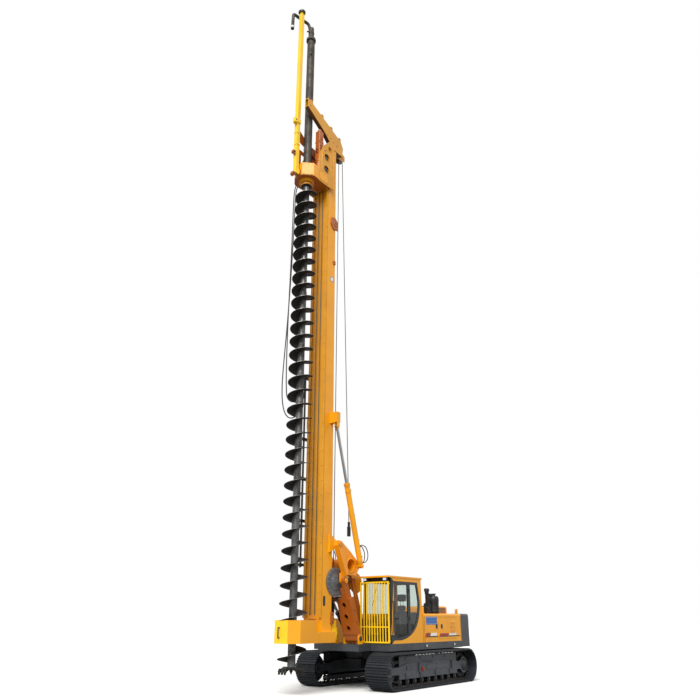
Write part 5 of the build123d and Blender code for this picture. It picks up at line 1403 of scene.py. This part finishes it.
def makeCatheadDetails():
    shape = catheadShape
    (rearInset, rearY, rearZ), rearRadius = shape["rearSheave"]
    rear = (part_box("cathead_sheaves")[0].x + rearInset, rearY, rearZ)
    main, mainRadius = shape["mainSheave"]
    tip, tipRadius = shape["tipSheave"]
    bm = bmesh.new()
    for centre, radius in ((rear, rearRadius), (main, mainRadius), (tip, tipRadius)):
        groovedSheave(bm, centre, radius)
    paint(bm, 0)
    makePiece("groovedSheaves", "mast", [blackPaint], bm, ("cathead_sheaves",))
    # the ropes' turns over the sheaves
    bm = bmesh.new()
    for centre, end in zip((rear, main), shape["ropeEnds"]):
        path = []
        for k in range(shape["ropeSteps"] + 1):
            angle = pi + (end - pi) * k / shape["ropeSteps"]
            reach = shape["ropeRadius"]
            path.append((centre[0] + reach * cos(angle), centre[1], centre[2] + reach * sin(angle)))
        tube(bm, path, shape["ropeThick"], 8)
    paint(bm, 0)
    makePiece("ropeOverSheaves", "mast", [ropeWire], bm)

    bm = bmesh.new()
    for side, face in shape["tipKeepers"]:
        lathe(bm, (tip[0], face, tip[2]), (0, side, 0), shape["tipKeeper"], 20)
    for cx, cz in shape["keepersAt"]:
        for side, face in shape["keeperFaces"]:
            lathe(bm, (cx, face, cz), (0, side, 0), shape["keeper"], 20)
            bolts(bm, (cx, face + side * 0.010, cz), (0, side, 0), 0.04, 3, 0.008, 0.006)
    across, height = shape["topBoltAcross"], shape["topBoltHeight"]
    for cx in shape["topBolts"]:
        boltRow(bm, [(cx, across, height), (cx, -across, height)], (0, 0, 1))
    foot, armTip = Vector(shape["armFoot"]), Vector(shape["armTip"])
    along = (armTip - foot).normalized()
    up = Vector((-along.y, along.x))
    for share in shape["lugsAt"]:
        at = foot.lerp(armTip, share)
        lug = [tuple(at + along * a + up * b) for a, b in shape["lug"]]
        for low in shape["lugDepths"]:
            prism(bm, lug, low, low + shape["lugThick"])
    paint(bm, 0)
    low, high = shape["lugPinAcross"]
    for share in shape["lugsAt"]:
        at = foot.lerp(armTip, share) + up * shape["lugPinUp"]
        rod(bm, (at.x, low, at.y), (at.x, high, at.y), shape["lugPin"], 12)
    startX, startZ, slope = shape["sideBoltLine"]
    places = [(cx, shape["sideBoltFace"], startZ + (cx - startX) * slope) for cx in shape["sideBolts"]]
    boltRow(bm, places, (0, 1, 0), 0.022)
    paint(bm, 1)
    makePiece("catheadFittings", "mast", [yellowAged, orangeAndPaintedShade], bm)


# Mast: strips on its front, welded seams, brackets, a black oval below the winch that is the slot's painted
# shade, blank sign, and the rails' bolts
mastShape = {
    "front": 3.88, "rear": 3.46, "half": 0.36,
    "strips": ((-0.26, -0.20), (0.20, 0.26)), "stripHeight": (2.10, 18.8),
    "eyePlate": [(3.34, 15.44), (3.62, 15.42), (3.75, 15.60), (3.72, 15.88), (3.50, 15.94), (3.36, 15.80)],
    "eyePlateDepth": (0.359, 0.40), "eyeAt": (3.50, 0.40, 15.66),
    "eye": [(-0.002, 0.05), (-0.002, 0.09), (0.010, 0.088), (0.010, 0.05)],
    "hook": [(3.46, 13.92), (3.56, 13.92), (3.60, 14.02), (3.50, 14.10), (3.46, 14.04)],
    "hookDepth": (0.359, 0.395), "footPlate": ((3.36, 3.52), (0.359, 0.385), (1.80, 2.13)),
    "footBolts": [(3.44, 0.385, 1.87), (3.44, 0.385, 2.06)], "slot": ((3.80, 2.34), (3.80, 2.52), 0.055),
    "slotDepth": (0.3595, 0.3612), "seamsAt": (5.6, 10.1, 14.6), "seamHigh": 0.012,
    "signAt": (3.62, 0.36, 13.27), "signRim": [(-0.001, 0.10), (0.003, 0.10), (0.003, 0.078)],
    "signFace": [(0.003, 0.078), (0.003, 0)],
    "railFace": 3.94, "railBoltsAcross": (0.338, 0.292), "railBolts": 36, "railBoltFoot": 2.2,
    "railBoltStep": 0.47,
}


def makeMastDetails():
    shape = mastShape
    front, rear, half = shape["front"], shape["rear"], shape["half"]
    bm = bmesh.new()
    for across in shape["strips"]:
        box(bm, (front - 0.002, front + 0.012), across, shape["stripHeight"], 0.003)
    paint(bm, 0)
    # bracket with an eye at the upper left, a small hook below it and a bolted plate near the foot
    prism(bm, shape["eyePlate"], *shape["eyePlateDepth"])
    lathe(bm, shape["eyeAt"], (0, 1, 0), shape["eye"], 24)
    prism(bm, shape["hook"], *shape["hookDepth"])
    box(bm, *shape["footPlate"], 0.006)
    paint(bm, 1)
    boltRow(bm, shape["footBolts"], (0, 1, 0), 0.022, 0.01)
    # A thin black oval on the side wall stands for the slot: painted shade
    prism(bm, roundBar(*shape["slot"]), *shape["slotDepth"])
    paint(bm, 2)
    for foot in shape["seamsAt"]:
        height = (foot, foot + shape["seamHigh"])
        for side in (1, -1):
            box(bm, (rear + 0.005, front - 0.005), mirrored(side, half - 0.0005, half + 0.003), height)
        box(bm, (front - 0.002, front + 0.002), (0.005 - half, half - 0.005), height)
    paint(bm, 0)
    lathe(bm, shape["signAt"], (0, 1, 0), shape["signRim"], 32)
    paint(bm, 3)
    lathe(bm, shape["signAt"], (0, 1, 0), shape["signFace"], 32)
    paint(bm, 4)
    coats = [yellow, orangeAndPaintedShade, blackPaint, bluePaint, whitePaint]
    makePiece("mastFittings", "mast", coats, bm)

    bm = bmesh.new()
    for side in (1, -1):
        for k in range(shape["railBolts"]):
            height = shape["railBoltFoot"] + k * shape["railBoltStep"]
            places = [(shape["railFace"], side * across, height) for across in shape["railBoltsAcross"]]
            boltRow(bm, places, (1, 0, 0), 0.009, 0.006)
    paint(bm, 0)
    makePiece("railBolts", "mast", [charcoal], bm)


# Valve block and steel pipes between the crowd drive and the winch
pipeworkShape = {
    "block": ((3.24, 3.40), (-0.19, 0.19), (2.12, 2.36)), "portFace": 3.24,
    "portsAcross": (-0.16, -0.08, 0.0, 0.08, 0.16), "portHeights": (2.17, 2.30),
    "port": [(-0.001, 0), (-0.001, 0.024), (0.02, 0.024), (0.024, 0.016), (0.05, 0.016), (0.05, 0)],
    "pipesAcross": (-0.19, -0.12, 0.12, 0.16, 0.20), "pipeRadius": 0.020,
    "pipe": [(3.22, 1.87), (3.17, 2.02), (3.15, 2.28), (3.22, 2.44), (3.47, 2.50)],
}


def makeMastPipework():
    shape = pipeworkShape
    bm = bmesh.new()
    box(bm, *shape["block"], 0.01)
    for cy in shape["portsAcross"]:
        for cz in shape["portHeights"]:
            lathe(bm, (shape["portFace"], cy, cz), (-1, 0, 0), shape["port"], 6)
    for cy in shape["pipesAcross"]:
        tube(bm, smoothPath([(cx, cy, cz) for cx, cz in shape["pipe"]], 6), shape["pipeRadius"], 8)
    paint(bm, 0)
    makePiece("mastPipework", "mast", [heatBlack], bm)


# Auger guide: C-shaped handle on the front, flanges round the bore and the gate's lock bolts
boreX = 4.74  # the auger's axis
guideShape = {
    # out from the front, and height
    "handle": [(-0.01, 1.46), (0.045, 1.462), (0.06, 1.48), (0.06, 1.70), (0.045, 1.718), (-0.01, 1.72)],
    "handleAcross": -0.06, "handleRadius": 0.016,
    "flange": [(0, 0.440), (0.004, 0.442), (0.004, 0.475), (0, 0.478)], "lockAt": 4.20,
    "lockHeights": (1.36, 1.55),
}


def makeGuideFittings():
    shape = guideShape
    low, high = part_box("guide_frame")
    bm = bmesh.new()
    handle = [(high.x + out, shape["handleAcross"], cz) for out, cz in shape["handle"]]
    tube(bm, smoothPath(handle, 4), shape["handleRadius"], 10)
    paint(bm, 0)
    lathe(bm, (boreX, 0, high.z - 0.004), (0, 0, 1), shape["flange"], 56)
    lathe(bm, (boreX, 0, low.z + 0.004), (0, 0, -1), shape["flange"], 56)
    for side in (1, -1):
        places = [(shape["lockAt"], side * high.y, cz) for cz in shape["lockHeights"]]
        boltRow(bm, places, (0, side, 0), 0.016)
    paint(bm, 1)
    makePiece("guideFittings", "mast", [blackPaint, yellow], bm)


makeCatheadDetails()
makeMastDetails()
makeMastPipework()
makeGuideFittings()
print("mast made")

# Auger: smooth flights round a pipe with couplings
augerShape = {
    "pitch": 0.48, "turns": 32.45, "stepsPerTurn": 64, "firstHeight": 0.969, "ringsAcross": 4,
    "root": 0.114, "rootHalf": 0.011, "rim": 0.405, "rimHalf": 0.006,
    "pipe": 0.115, "pipeBore": 0.1, "pipeSteps": 40,
    "couplingEvery": 3.84, "coupling": ((-0.16, 0.115), (-0.155, 0.126), (0.155, 0.126), (0.16, 0.115)),
}


def makeAuger():
    shape = augerShape
    low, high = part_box("auger")
    middle = (low.x + high.x) / 2
    length = high.z - low.z
    bm = bmesh.new()
    profile = [(0, shape["pipeBore"]), (0, shape["pipe"])]
    joint = shape["couplingEvery"]
    while joint < length - 1:
        profile += [(joint + offset, radius) for offset, radius in shape["coupling"]]
        joint += shape["couplingEvery"]
    profile += [(length, shape["pipe"]), (length, shape["pipeBore"])]
    lathe(bm, (middle, 0, low.z), (0, 0, 1), profile, shape["pipeSteps"])
    paint(bm, 2)
    # section of a flight: its upper side from root to rim, then its lower side back
    across = []
    for k in range(shape["ringsAcross"]):
        share = k / (shape["ringsAcross"] - 1)
        half = shape["rootHalf"] + (shape["rimHalf"] - shape["rootHalf"]) * share
        across.append((shape["root"] + (shape["rim"] - shape["root"]) * share, half))
    section = across + [(radius, -half) for radius, half in reversed(across)]
    rings = []
    for step in range(-shape["stepsPerTurn"] // 2, int(shape["turns"] * shape["stepsPerTurn"]) + 1):
        angle = 2 * pi * step / shape["stepsPerTurn"]
        height = shape["firstHeight"] + shape["pitch"] * angle / (2 * pi)
        rings.append([
            bm.verts.new((middle + radius * cos(angle), radius * sin(angle), height + half))
            for radius, half in section
        ])
    bm.faces.new(rings[0])
    bm.faces.new(rings[-1])
    for first, second in zip(rings, rings[1:]):
        loopFaces(bm, first, second)
    paint(bm, 0)
    # the soil keeps the rims bright
    for face in bm.faces:
        if all(abs(hypot(v.co.x - middle, v.co.y) - shape["rim"]) < 0.002 for v in face.verts):
            face.material_index = 1
    steels = [augerSteel, rubbedSteel, augerPipe]
    makePiece("augerFlights", "auger", steels, bm, ("auger",), 40)


# Bit: hub with a pilot, and two sloping blades with chisel teeth; outlines are (ahead, up from the tip)
bitShape = {
    "hubFoot": 0.14, "hub": 0.134, "hubChamfer": (0.10, 0.02), "pilotFoot": 0.002,
    "pilot": [(0, 0), (0.10, 0.05), (0.15, 0.05), (0.15, 0)],
    "blade": [(-0.13, 0.10), (-0.115, 0.085), (0.13, 0.185), (0.115, 0.20)], "bladeReach": (0.06, 0.399),
    "teethAt": (0.085, 0.195, 0.305), "toothWide": 0.075,
    "tooth": [
        (-0.085, 0.16), (-0.125, 0.13), (-0.134, 0.012), (-0.122, 0.004), (-0.095, 0.07), (-0.04, 0.12),
    ],
}


def makeBit():
    shape = bitShape
    low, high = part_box("auger_bit")
    middle = (low.x + high.x) / 2
    foot, radius = shape["hubFoot"], shape["hub"]
    length = high.z - low.z - foot
    chamferRadius, chamferHeight = shape["hubChamfer"]
    hub = [(0, 0), (0, chamferRadius), (chamferHeight, radius), (length, radius), (length, 0)]
    bm = bmesh.new()
    lathe(bm, (middle, 0, low.z + foot), (0, 0, 1), hub, 32)
    lathe(bm, (middle, 0, low.z + shape["pilotFoot"]), (0, 0, 1), shape["pilot"], 8)
    paint(bm, 0)
    for side in (1, -1):
        def turned(outline):
            return [(middle + ahead * side, low.z + up) for ahead, up in outline]
        prism(bm, turned(shape["blade"]), *mirrored(side, *shape["bladeReach"]))
        for reach in shape["teethAt"]:
            prism(bm, turned(shape["tooth"]), *mirrored(side, reach, reach + shape["toothWide"]), "y", 0.004)
        paint(bm, 1)
    makePiece("augerBitTeeth", "auger", [augerSteel, wornSteel], bm, ("auger_bit",), 30)


# Drive tube: cap at the top, keys and lugs on it, and the yellow ring below the head
tubeShape = {
    "capFoot": 24.19,
    "cap": [(-0.002, 0.152), (-0.002, 0.197), (0.03, 0.199), (0.08, 0.199), (0.112, 0.195), (0.112, 0.152)],
    "keys": 3, "keyRadius": 0.150, "keyHalf": 0.010, "keyTurn": 0.4, "keyHeight": (17.72, 24.1),
    "ringFoot": 16.83,
    "ring": [(0, 0.13), (0, 0.195), (0.01, 0.2005), (0.09, 0.2005), (0.10, 0.19), (0.10, 0.152)],
    "lugTurn": 0.9, "lugRadius": 0.165, "lugHalf": 0.03, "lugHeight": (23.30, 23.62),
}


def makeTubeFittings():
    shape = tubeShape
    bm = bmesh.new()
    def onTube(angle, radius, half, height, edge):
        cx, cy = boreX + radius * cos(angle), radius * sin(angle)
        box(bm, (cx - half, cx + half), (cy - half, cy + half), height, edge)
    lathe(bm, (boreX, 0, shape["capFoot"]), (0, 0, 1), shape["cap"], 56)
    bolts(bm, (boreX, 0, shape["capFoot"] - 0.002), (0, 0, -1), 0.175, 12, 0.010, 0.010)
    for k in range(shape["keys"]):
        angle = 2 * pi * k / shape["keys"] + shape["keyTurn"]
        onTube(angle, shape["keyRadius"], shape["keyHalf"], shape["keyHeight"], 0.003)
    paint(bm, 0)
    lathe(bm, (boreX, 0, shape["ringFoot"]), (0, 0, 1), shape["ring"], 48)
    paint(bm, 2)
    bolts(bm, (boreX, 0, shape["ringFoot"] + 0.002), (0, 0, -1), 0.165, 8, 0.014, 0.012)
    paint(bm, 1)
    for angle in (shape["lugTurn"], shape["lugTurn"] + pi):
        onTube(angle, shape["lugRadius"], shape["lugHalf"], shape["lugHeight"], 0.008)
    paint(bm, 0)
    makePiece("tubeFittings", "auger", [tubeSteel, augerSteel, yellow], bm)


# Head's gearbox: bearing cover, packing ring, and bolted covers on its sides and slanted front faces
gearboxShape = {
    "top": 17.6, "coverSink": 0.002,
    "cover": [
        (0, 0.153), (0, 0.335), (0.035, 0.335), (0.04, 0.33), (0.045, 0.25), (0.07, 0.24), (0.07, 0.153),
    ],
    "packingFoot": 16.955,
    "packing": [(0, 0.20), (0, 0.262), (0.008, 0.2785), (0.04, 0.2785), (0.05, 0.272), (0.05, 0.20)],
    "lipFoot": 16.9395, "lip": [(0, 0.153), (0, 0.222), (0.02, 0.222), (0.02, 0.153)],
    "slantFrom": (4.88, 0.48), "slantAlong": (0.035, 0.405), "slantThick": 0.012,
    "slantHeight": (17.070, 17.575), "slantBoltsAlong": (0.06, 0.22, 0.38),
    "slantBoltHeights": (17.10, 17.545), "slantBolt": [(-0.001, 0.014), (0.010, 0.014), (0.010, 0)],
    "sideAlong": (4.05, 4.52), "sideDepth": (0.459, 0.470), "sideHeight": (17.12, 17.50),
    "sideBolts": [(cx, cz) for cx in (4.09, 4.28, 4.48) for cz in (17.16, 17.46)],
}
slope = 0.7071  # sine and cosine of the slanted faces' 45 degrees


def makeGearboxFittings():
    shape = gearboxShape
    up = (0, 0, 1)
    bm = bmesh.new()
    lathe(bm, (boreX, 0, shape["top"] - shape["coverSink"]), up, shape["cover"], 56)
    bolts(bm, (boreX, 0, shape["top"] + 0.034), up, 0.295, 20, 0.014, 0.014)
    lathe(bm, (boreX, 0, shape["packingFoot"]), up, shape["packing"], 56)
    lathe(bm, (boreX, 0, shape["lipFoot"]), up, shape["lip"], 48)
    paint(bm, 0)
    startX, startY = shape["slantFrom"]
    low, high = shape["slantAlong"]
    thick = shape["slantThick"]
    for side in (1, -1):
        def onSlant(along, lift):
            return (startX + (along + lift) * slope, side * (startY + (lift - along) * slope))
        outline = [onSlant(low, -0.002), onSlant(high, -0.002), onSlant(high, thick), onSlant(low, thick)]
        prism(bm, outline, *shape["slantHeight"], "z", 0.003)
        for along in shape["slantBoltsAlong"]:
            for cz in shape["slantBoltHeights"]:
                lathe(bm, (*onSlant(along, thick), cz), (slope, side * slope, 0), shape["slantBolt"], 6)
    paint(bm, 0)
    for side in (1, -1):
        box(bm, shape["sideAlong"], mirrored(side, *shape["sideDepth"]), shape["sideHeight"], 0.004)
        paint(bm, 0)
        places = [(cx, side * shape["sideDepth"][1], cz) for cx, cz in shape["sideBolts"]]
        boltRow(bm, places, (0, side, 0), 0.012, 0.008)
        paint(bm, 1)
    makePiece("gearboxFittings", "head", [yellow, charcoal], bm)


# Head's two motors: foot flange, cooling rings, end cap, bands and hose ports; profiles are (along, radius)
motorShape = {
    "at": (4.41, 0.305), "foot": 17.6,
    "flange": [(-0.001, 0.119), (-0.001, 0.155), (0.03, 0.155), (0.035, 0.119)], "rings": 5,
    "ringFoot": 17.70, "ringStep": 0.075, "ring": [(0, 0.1175), (0, 0.126), (0.035, 0.126), (0.035, 0.1175)],
    "boxHalf": 0.112, "coverHeight": 19.12, "cover": [(-0.001, 0), (-0.001, 0.07), (0.012, 0.07), (0.014, 0)],
    "capFoot": 19.449, "cap": [(0, 0), (0, 0.10), (0.03, 0.10), (0.035, 0.075), (0.11, 0.07), (0.12, 0)],
    "bandsAt": (18.0, 18.9), "bandAlong": (4.288, 4.532), "bandHalf": 0.119, "bandHigh": 0.05,
    "frontPorts": (18.42, 18.56), "frontFace": 4.525,
    "frontPort": [(-0.001, 0), (-0.001, 0.03), (0.035, 0.03), (0.035, 0.022), (0.06, 0.022), (0.06, 0)],
    "sidePorts": (18.62, 18.74), "sidePortAt": 4.45,
    "sidePort": [(-0.001, 0), (-0.001, 0.026), (0.02, 0.026), (0.022, 0)],
}


def makeMotorFittings():
    shape = motorShape
    up = (0, 0, 1)
    cx = shape["at"][0]
    bm = bmesh.new()
    for side in (1, -1):
        cy = side * shape["at"][1]
        out = (0, side, 0)
        lathe(bm, (cx, cy, shape["foot"]), up, shape["flange"], 40)
        bolts(bm, (cx, cy, shape["foot"] + 0.03), up, 0.137, 10, 0.010, 0.012)
        for k in range(shape["rings"]):
            lathe(bm, (cx, cy, shape["ringFoot"] + k * shape["ringStep"]), up, shape["ring"], 40)
        face = cy + side * shape["boxHalf"]
        lathe(bm, (cx, face, shape["coverHeight"]), out, shape["cover"], 24)
        bolts(bm, (cx, face + side * 0.012, shape["coverHeight"]), out, 0.055, 6, 0.008, 0.007)
        lathe(bm, (cx, cy, shape["capFoot"]), up, shape["cap"], 24)
        bolts(bm, (cx, cy, shape["capFoot"] + 0.03), up, 0.085, 8, 0.009, 0.010)
        across = (cy - shape["bandHalf"], cy + shape["bandHalf"])
        for cz in shape["bandsAt"]:
            box(bm, shape["bandAlong"], across, (cz, cz + shape["bandHigh"]), 0.004)
        paint(bm, 0)
        for cz in shape["frontPorts"]:
            lathe(bm, (shape["frontFace"], cy, cz), (1, 0, 0), shape["frontPort"], 6)
        for cz in shape["sidePorts"]:
            lathe(bm, (shape["sidePortAt"], face, cz), out, shape["sidePort"], 6)
        paint(bm, 1)
    makePiece("motorFittings", "head", [orangeAndPaintedShade, blackPaint], bm)


# Head's carriage: rims round its holes, ribs, wear pads' bolts, rear wall and valve blocks
carriageShape = {
    "face": 0.46, "holes": (((4.15, 17.78), 0.15), ((4.13, 18.35), 0.15), ((3.96, 18.85), 0.10)),
    "padBoltsAt": (3.80, 3.90), "padBoltHeights": (17.10, 18.10),
    "edgeRib": ((3.722, 3.745), (0.459, 0.486), (17.06, 19.18)),
    "bentRib": [(4.40, 17.62), (4.42, 18.10), (4.36, 18.52), (4.14, 18.72)], "bentRibLift": 0.006,
    "bentRibRadius": 0.016, "frontRib": ((4.50, 4.556), (0.405, 0.459), (17.64, 18.26)),
    "wall": ((4.012, 4.030), (-0.430, 0.430), (17.62, 18.96)),
    "wallRibs": (-0.38, -0.12, 0.12, 0.38), "wallRibAlong": (4.028, 4.10), "wallRibHalf": 0.008,
    "wallRibHeight": (17.66, 18.90),
    "valve": ((4.05, 4.26), (0.33, 0.428), (17.68, 17.88)), "valvePorts": (4.10, 4.20),
    "valvePortHeight": 17.78, "valvePort": [(0, 0), (0, 0.028), (0.022, 0.028), (0.024, 0)],
    "valveFace": 0.427, "upperValve": ((4.06, 4.20), (0.36, 0.428), (18.28, 18.42)),
}


def makeCarriageFittings():
    shape = carriageShape
    bm = bmesh.new()
    def sideBox(side, spans, edge):
        box(bm, spans[0], mirrored(side, *spans[1]), spans[2], edge)
    for side in (1, -1):
        face = side * shape["face"]
        out = (0, side, 0)
        for (cx, cz), radius in shape["holes"]:
            rim = [(-0.003, radius), (-0.003, radius + 0.022), (0.008, radius + 0.020), (0.008, radius)]
            lathe(bm, (cx, face, cz), out, rim, 36)
        for cz in shape["padBoltHeights"]:
            boltRow(bm, [(cx, face, cz) for cx in shape["padBoltsAt"]], out, 0.016)
        sideBox(side, shape["edgeRib"], 0.004)
        rib = [(cx, face + side * shape["bentRibLift"], cz) for cx, cz in shape["bentRib"]]
        tube(bm, smoothPath(rib, 6), shape["bentRibRadius"], 8)
        sideBox(side, shape["frontRib"], 0.004)
    paint(bm, 0)
    box(bm, *shape["wall"], 0.003)
    for cy in shape["wallRibs"]:
        half = shape["wallRibHalf"]
        box(bm, shape["wallRibAlong"], (cy - half, cy + half), shape["wallRibHeight"])
    paint(bm, 1)
    for side in (1, -1):
        sideBox(side, shape["valve"], 0.01)
        for cx in shape["valvePorts"]:
            at = (cx, side * shape["valveFace"], shape["valvePortHeight"])
            lathe(bm, at, (0, side, 0), shape["valvePort"], 6)
        sideBox(side, shape["upperValve"], 0.01)
    paint(bm, 2)
    makePiece("carriageFittings", "head", [yellowAged, orangeAndPaintedShade, charcoal], bm)


# Head's pole: clamps, stays to the carriage, lugs in front with their pins, foot hook and clamp ring on top
poleShape = {
    "clampsAt": (18.39, 18.94), "clampAlong": (5.262, 5.438), "clampHalf": (0.088, 0.04),
    "clampBolts": (5.30, 5.40), "clampBoltFace": 0.088,
    "collar": ((5.262, 5.47), (-0.100, 0.100), (19.38, 19.58)),
    "collarBlock": ((5.40, 5.57), (-0.05, 0.09), (19.34, 19.56)),
    "upperStay": [(5.276, 19.52), (5.276, 19.06), (4.95, 18.80), (4.05, 18.62), (4.05, 18.95), (4.62, 19.12)],
    "lowerStay": [(5.276, 18.36), (5.276, 18.08), (5.02, 17.72), (4.92, 17.72), (4.92, 18.36)],
    "stayDepth": (-0.182, -0.168), "lug": ((5.40, 17.99), (5.50, 17.96), 0.09), "lugDepth": (-0.03, 0.03),
    "hook": [(5.40, 17.10), (5.56, 17.04), (5.585, 16.93), (5.50, 16.86), (5.46, 16.93), (5.40, 16.96)],
    "hookDepth": (-0.05, 0.05),
    "stayEyes": ((5.20, 19.34), (5.02, 19.02), (5.16, 18.22)),
    "stayEye": [(-0.001, 0.045), (0.002, 0.045), (0.002, 0)], "collarEyeAt": (5.50, 0.089, 19.46),
    "collarEye": [(0, 0), (0, 0.035), (0.003, 0.035), (0.003, 0)],
    "pins": ((5.50, 17.96, 0.09, 0.03), (5.51, 16.96, 0.10, 0.024)), "ringAt": (5.35, 0, 25.24),
    "ring": [
        (0, 0.100), (0, 0.135), (0.03, 0.15), (0.09, 0.15), (0.12, 0.13), (0.12, 0.100), (0, 0.100),
    ],
}


def makePoleFittings():
    shape = poleShape
    halfY, halfZ = shape["clampHalf"]
    bm = bmesh.new()
    # Clamps and collar in the bright yellow, painted light like the pole's front
    for cz in shape["clampsAt"]:
        box(bm, shape["clampAlong"], (-halfY, halfY), (cz - halfZ, cz + halfZ), 0.006)
        places = [(cx, shape["clampBoltFace"], cz) for cx in shape["clampBolts"]]
        boltRow(bm, places, (0, 1, 0), 0.010, 0.008)
    box(bm, *shape["collar"], 0.008)
    box(bm, *shape["collarBlock"], 0.01)
    paint(bm, 0)
    # Stays, lug and hook in the brown-orange; on the stays it is painted shade
    prism(bm, shape["upperStay"], *shape["stayDepth"])
    prism(bm, shape["lowerStay"], *shape["stayDepth"])
    prism(bm, roundBar(*shape["lug"]), *shape["lugDepth"])
    prism(bm, shape["hook"], *shape["hookDepth"])
    paint(bm, 1)
    for cx, cz in shape["stayEyes"]:
        lathe(bm, (cx, shape["stayDepth"][1], cz), (0, 1, 0), shape["stayEye"], 20)
    lathe(bm, shape["collarEyeAt"], (0, 1, 0), shape["collarEye"], 20)
    for cx, cz, half, radius in shape["pins"]:
        rod(bm, (cx, -half, cz), (cx, half, cz), radius, 14)
    lathe(bm, shape["ringAt"], (0, 0, 1), shape["ring"], 28)
    paint(bm, 2)
    makePiece("poleFittings", "head", [brightYellowAndPaintedLight, orangeAndPaintedShade, blackPaint], bm)


# Gooseneck: swivel on the tube, a white band and a black end on the outlet, and a small valve
neckShape = {
    "outletAt": (5.68, -0.19, 24.22), "end": [(0, 0.05), (0, 0.0722), (0.03, 0.0725), (0.03, 0.066)],
    "endLift": 0.002, "band": [(0, 0.066), (0, 0.0735), (0.08, 0.0735), (0.08, 0.066)], "bandLift": 0.05,
    "swivelFoot": 24.31,
    "swivel": [
        (0, 0), (0, 0.128), (0.05, 0.128), (0.06, 0.112), (0.30, 0.112), (0.31, 0.125), (0.35, 0.125),
        (0.36, 0.112), (0.60, 0.111), (0.62, 0.10), (0.625, 0),
    ],
    "capFoot": 24.92, "cap": [(0, 0.06), (0.03, 0.05), (0.05, 0)],
    "valveStem": ((4.86, -0.02, 24.62), (4.93, -0.02, 24.62), 0.018),
    "valveHandle": ((4.92, 4.96), (-0.06, 0.02), (24.60, 24.64), 0.004),
}


def makeNeckFittings():
    shape = neckShape
    up = (0, 0, 1)
    endX, endY, endZ = shape["outletAt"]
    bm = bmesh.new()
    lathe(bm, (endX, endY, endZ + shape["endLift"]), up, shape["end"], 28)
    paint(bm, 1)
    lathe(bm, (endX, endY, endZ + shape["bandLift"]), up, shape["band"], 28)
    paint(bm, 2)
    lathe(bm, (boreX, 0, shape["swivelFoot"]), up, shape["swivel"], 40)
    bolts(bm, (boreX, 0, shape["swivelFoot"] + 0.05), up, 0.118, 12, 0.010, 0.010)
    paint(bm, 0)
    lathe(bm, (boreX, 0, shape["capFoot"]), up, shape["cap"], 20)
    rod(bm, *shape["valveStem"], 10)
    box(bm, *shape["valveHandle"])
    paint(bm, 1)
    makePiece("neckFittings", "head", [tubeSteel, blackPaint, whitePaint], bm)


makeAuger()
makeBit()
makeTubeFittings()
makeGearboxFittings()
makeMotorFittings()
makeCarriageFittings()
makePoleFittings()
makeNeckFittings()
print("auger and head made")

# Studio: a pale floor, one soft key light and an even white surround. Camera, mirrors and glass see plain
# white, and the object is lit by less of it
studio = {
    "surround": 0.66, "sun": 3.7, "sunSize": 40, "sunDirection": (-0.66, -0.33, -0.67),
    "floor": "f4f4f2", "floorPatches": "efefed", "patchMm": 3000, "bounce": "8c8c8a", "floorHalf": 200,
}
world = bpy.data.worlds.new("surround")
scene.world = world
world.use_nodes = True
tree = world.node_tree
rays = addNode(tree, "LightPath").node.outputs
mirrors = addNode(
    tree, "Math", {0: rays["Is Glossy Ray"], 1: rays["Is Transmission Ray"]}, operation="MAXIMUM",
)
seen = addNode(tree, "Math", {0: rays["Is Camera Ray"], 1: mirrors}, operation="MAXIMUM")
strength = addNode(tree, "MapRange", {"Value": seen, "To Min": studio["surround"], "To Max": 1.0})
background = tree.nodes["Background"]
background.inputs["Color"].default_value = (1, 1, 1, 1)
tree.links.new(strength, background.inputs["Strength"])
sun = bpy.data.objects.new("key", bpy.data.lights.new("key", "SUN"))
sun.data.energy = studio["sun"]
sun.data.angle = radians(studio["sunSize"])
sun.rotation_euler = Vector(studio["sunDirection"]).to_track_quat("-Z", "Y").to_euler()
scene.collection.objects.link(sun)

# Painted floor, rolled: nearly white to the camera, greyer in the light that it throws back
floorMaterial, tree, place = newMaterial("paleStudioFloor")
cloud = patches(tree, place, studio["patchMm"], 0.3, 0.7, 3)
tone = layOver(tree, linear(studio["floor"]), studio["floorPatches"], cloud)
seen = addNode(tree, "LightPath", out="Is Camera Ray")
tone = addNode(tree, "Mix", {0: seen, 6: linear(studio["bounce"]), 7: tone}, 2, data_type="RGBA")
closeMaterial(floorMaterial, addNode(tree, "BsdfPrincipled", {"Base Color": tone, "Roughness": 0.9}))
half = studio["floorHalf"]
floorMesh = bpy.data.meshes.new("floor")
corners = [(-half, -half, 0), (half, -half, 0), (half, half, 0), (-half, half, 0)]
floorMesh.from_pydata(corners, [], [(0, 1, 2, 3)])
floor = bpy.data.objects.new("floor", floorMesh)
floor.data.materials.append(floorMaterial)
scene.collection.objects.link(floor)

scene.view_settings.view_transform = "Standard"
print("studio ready")
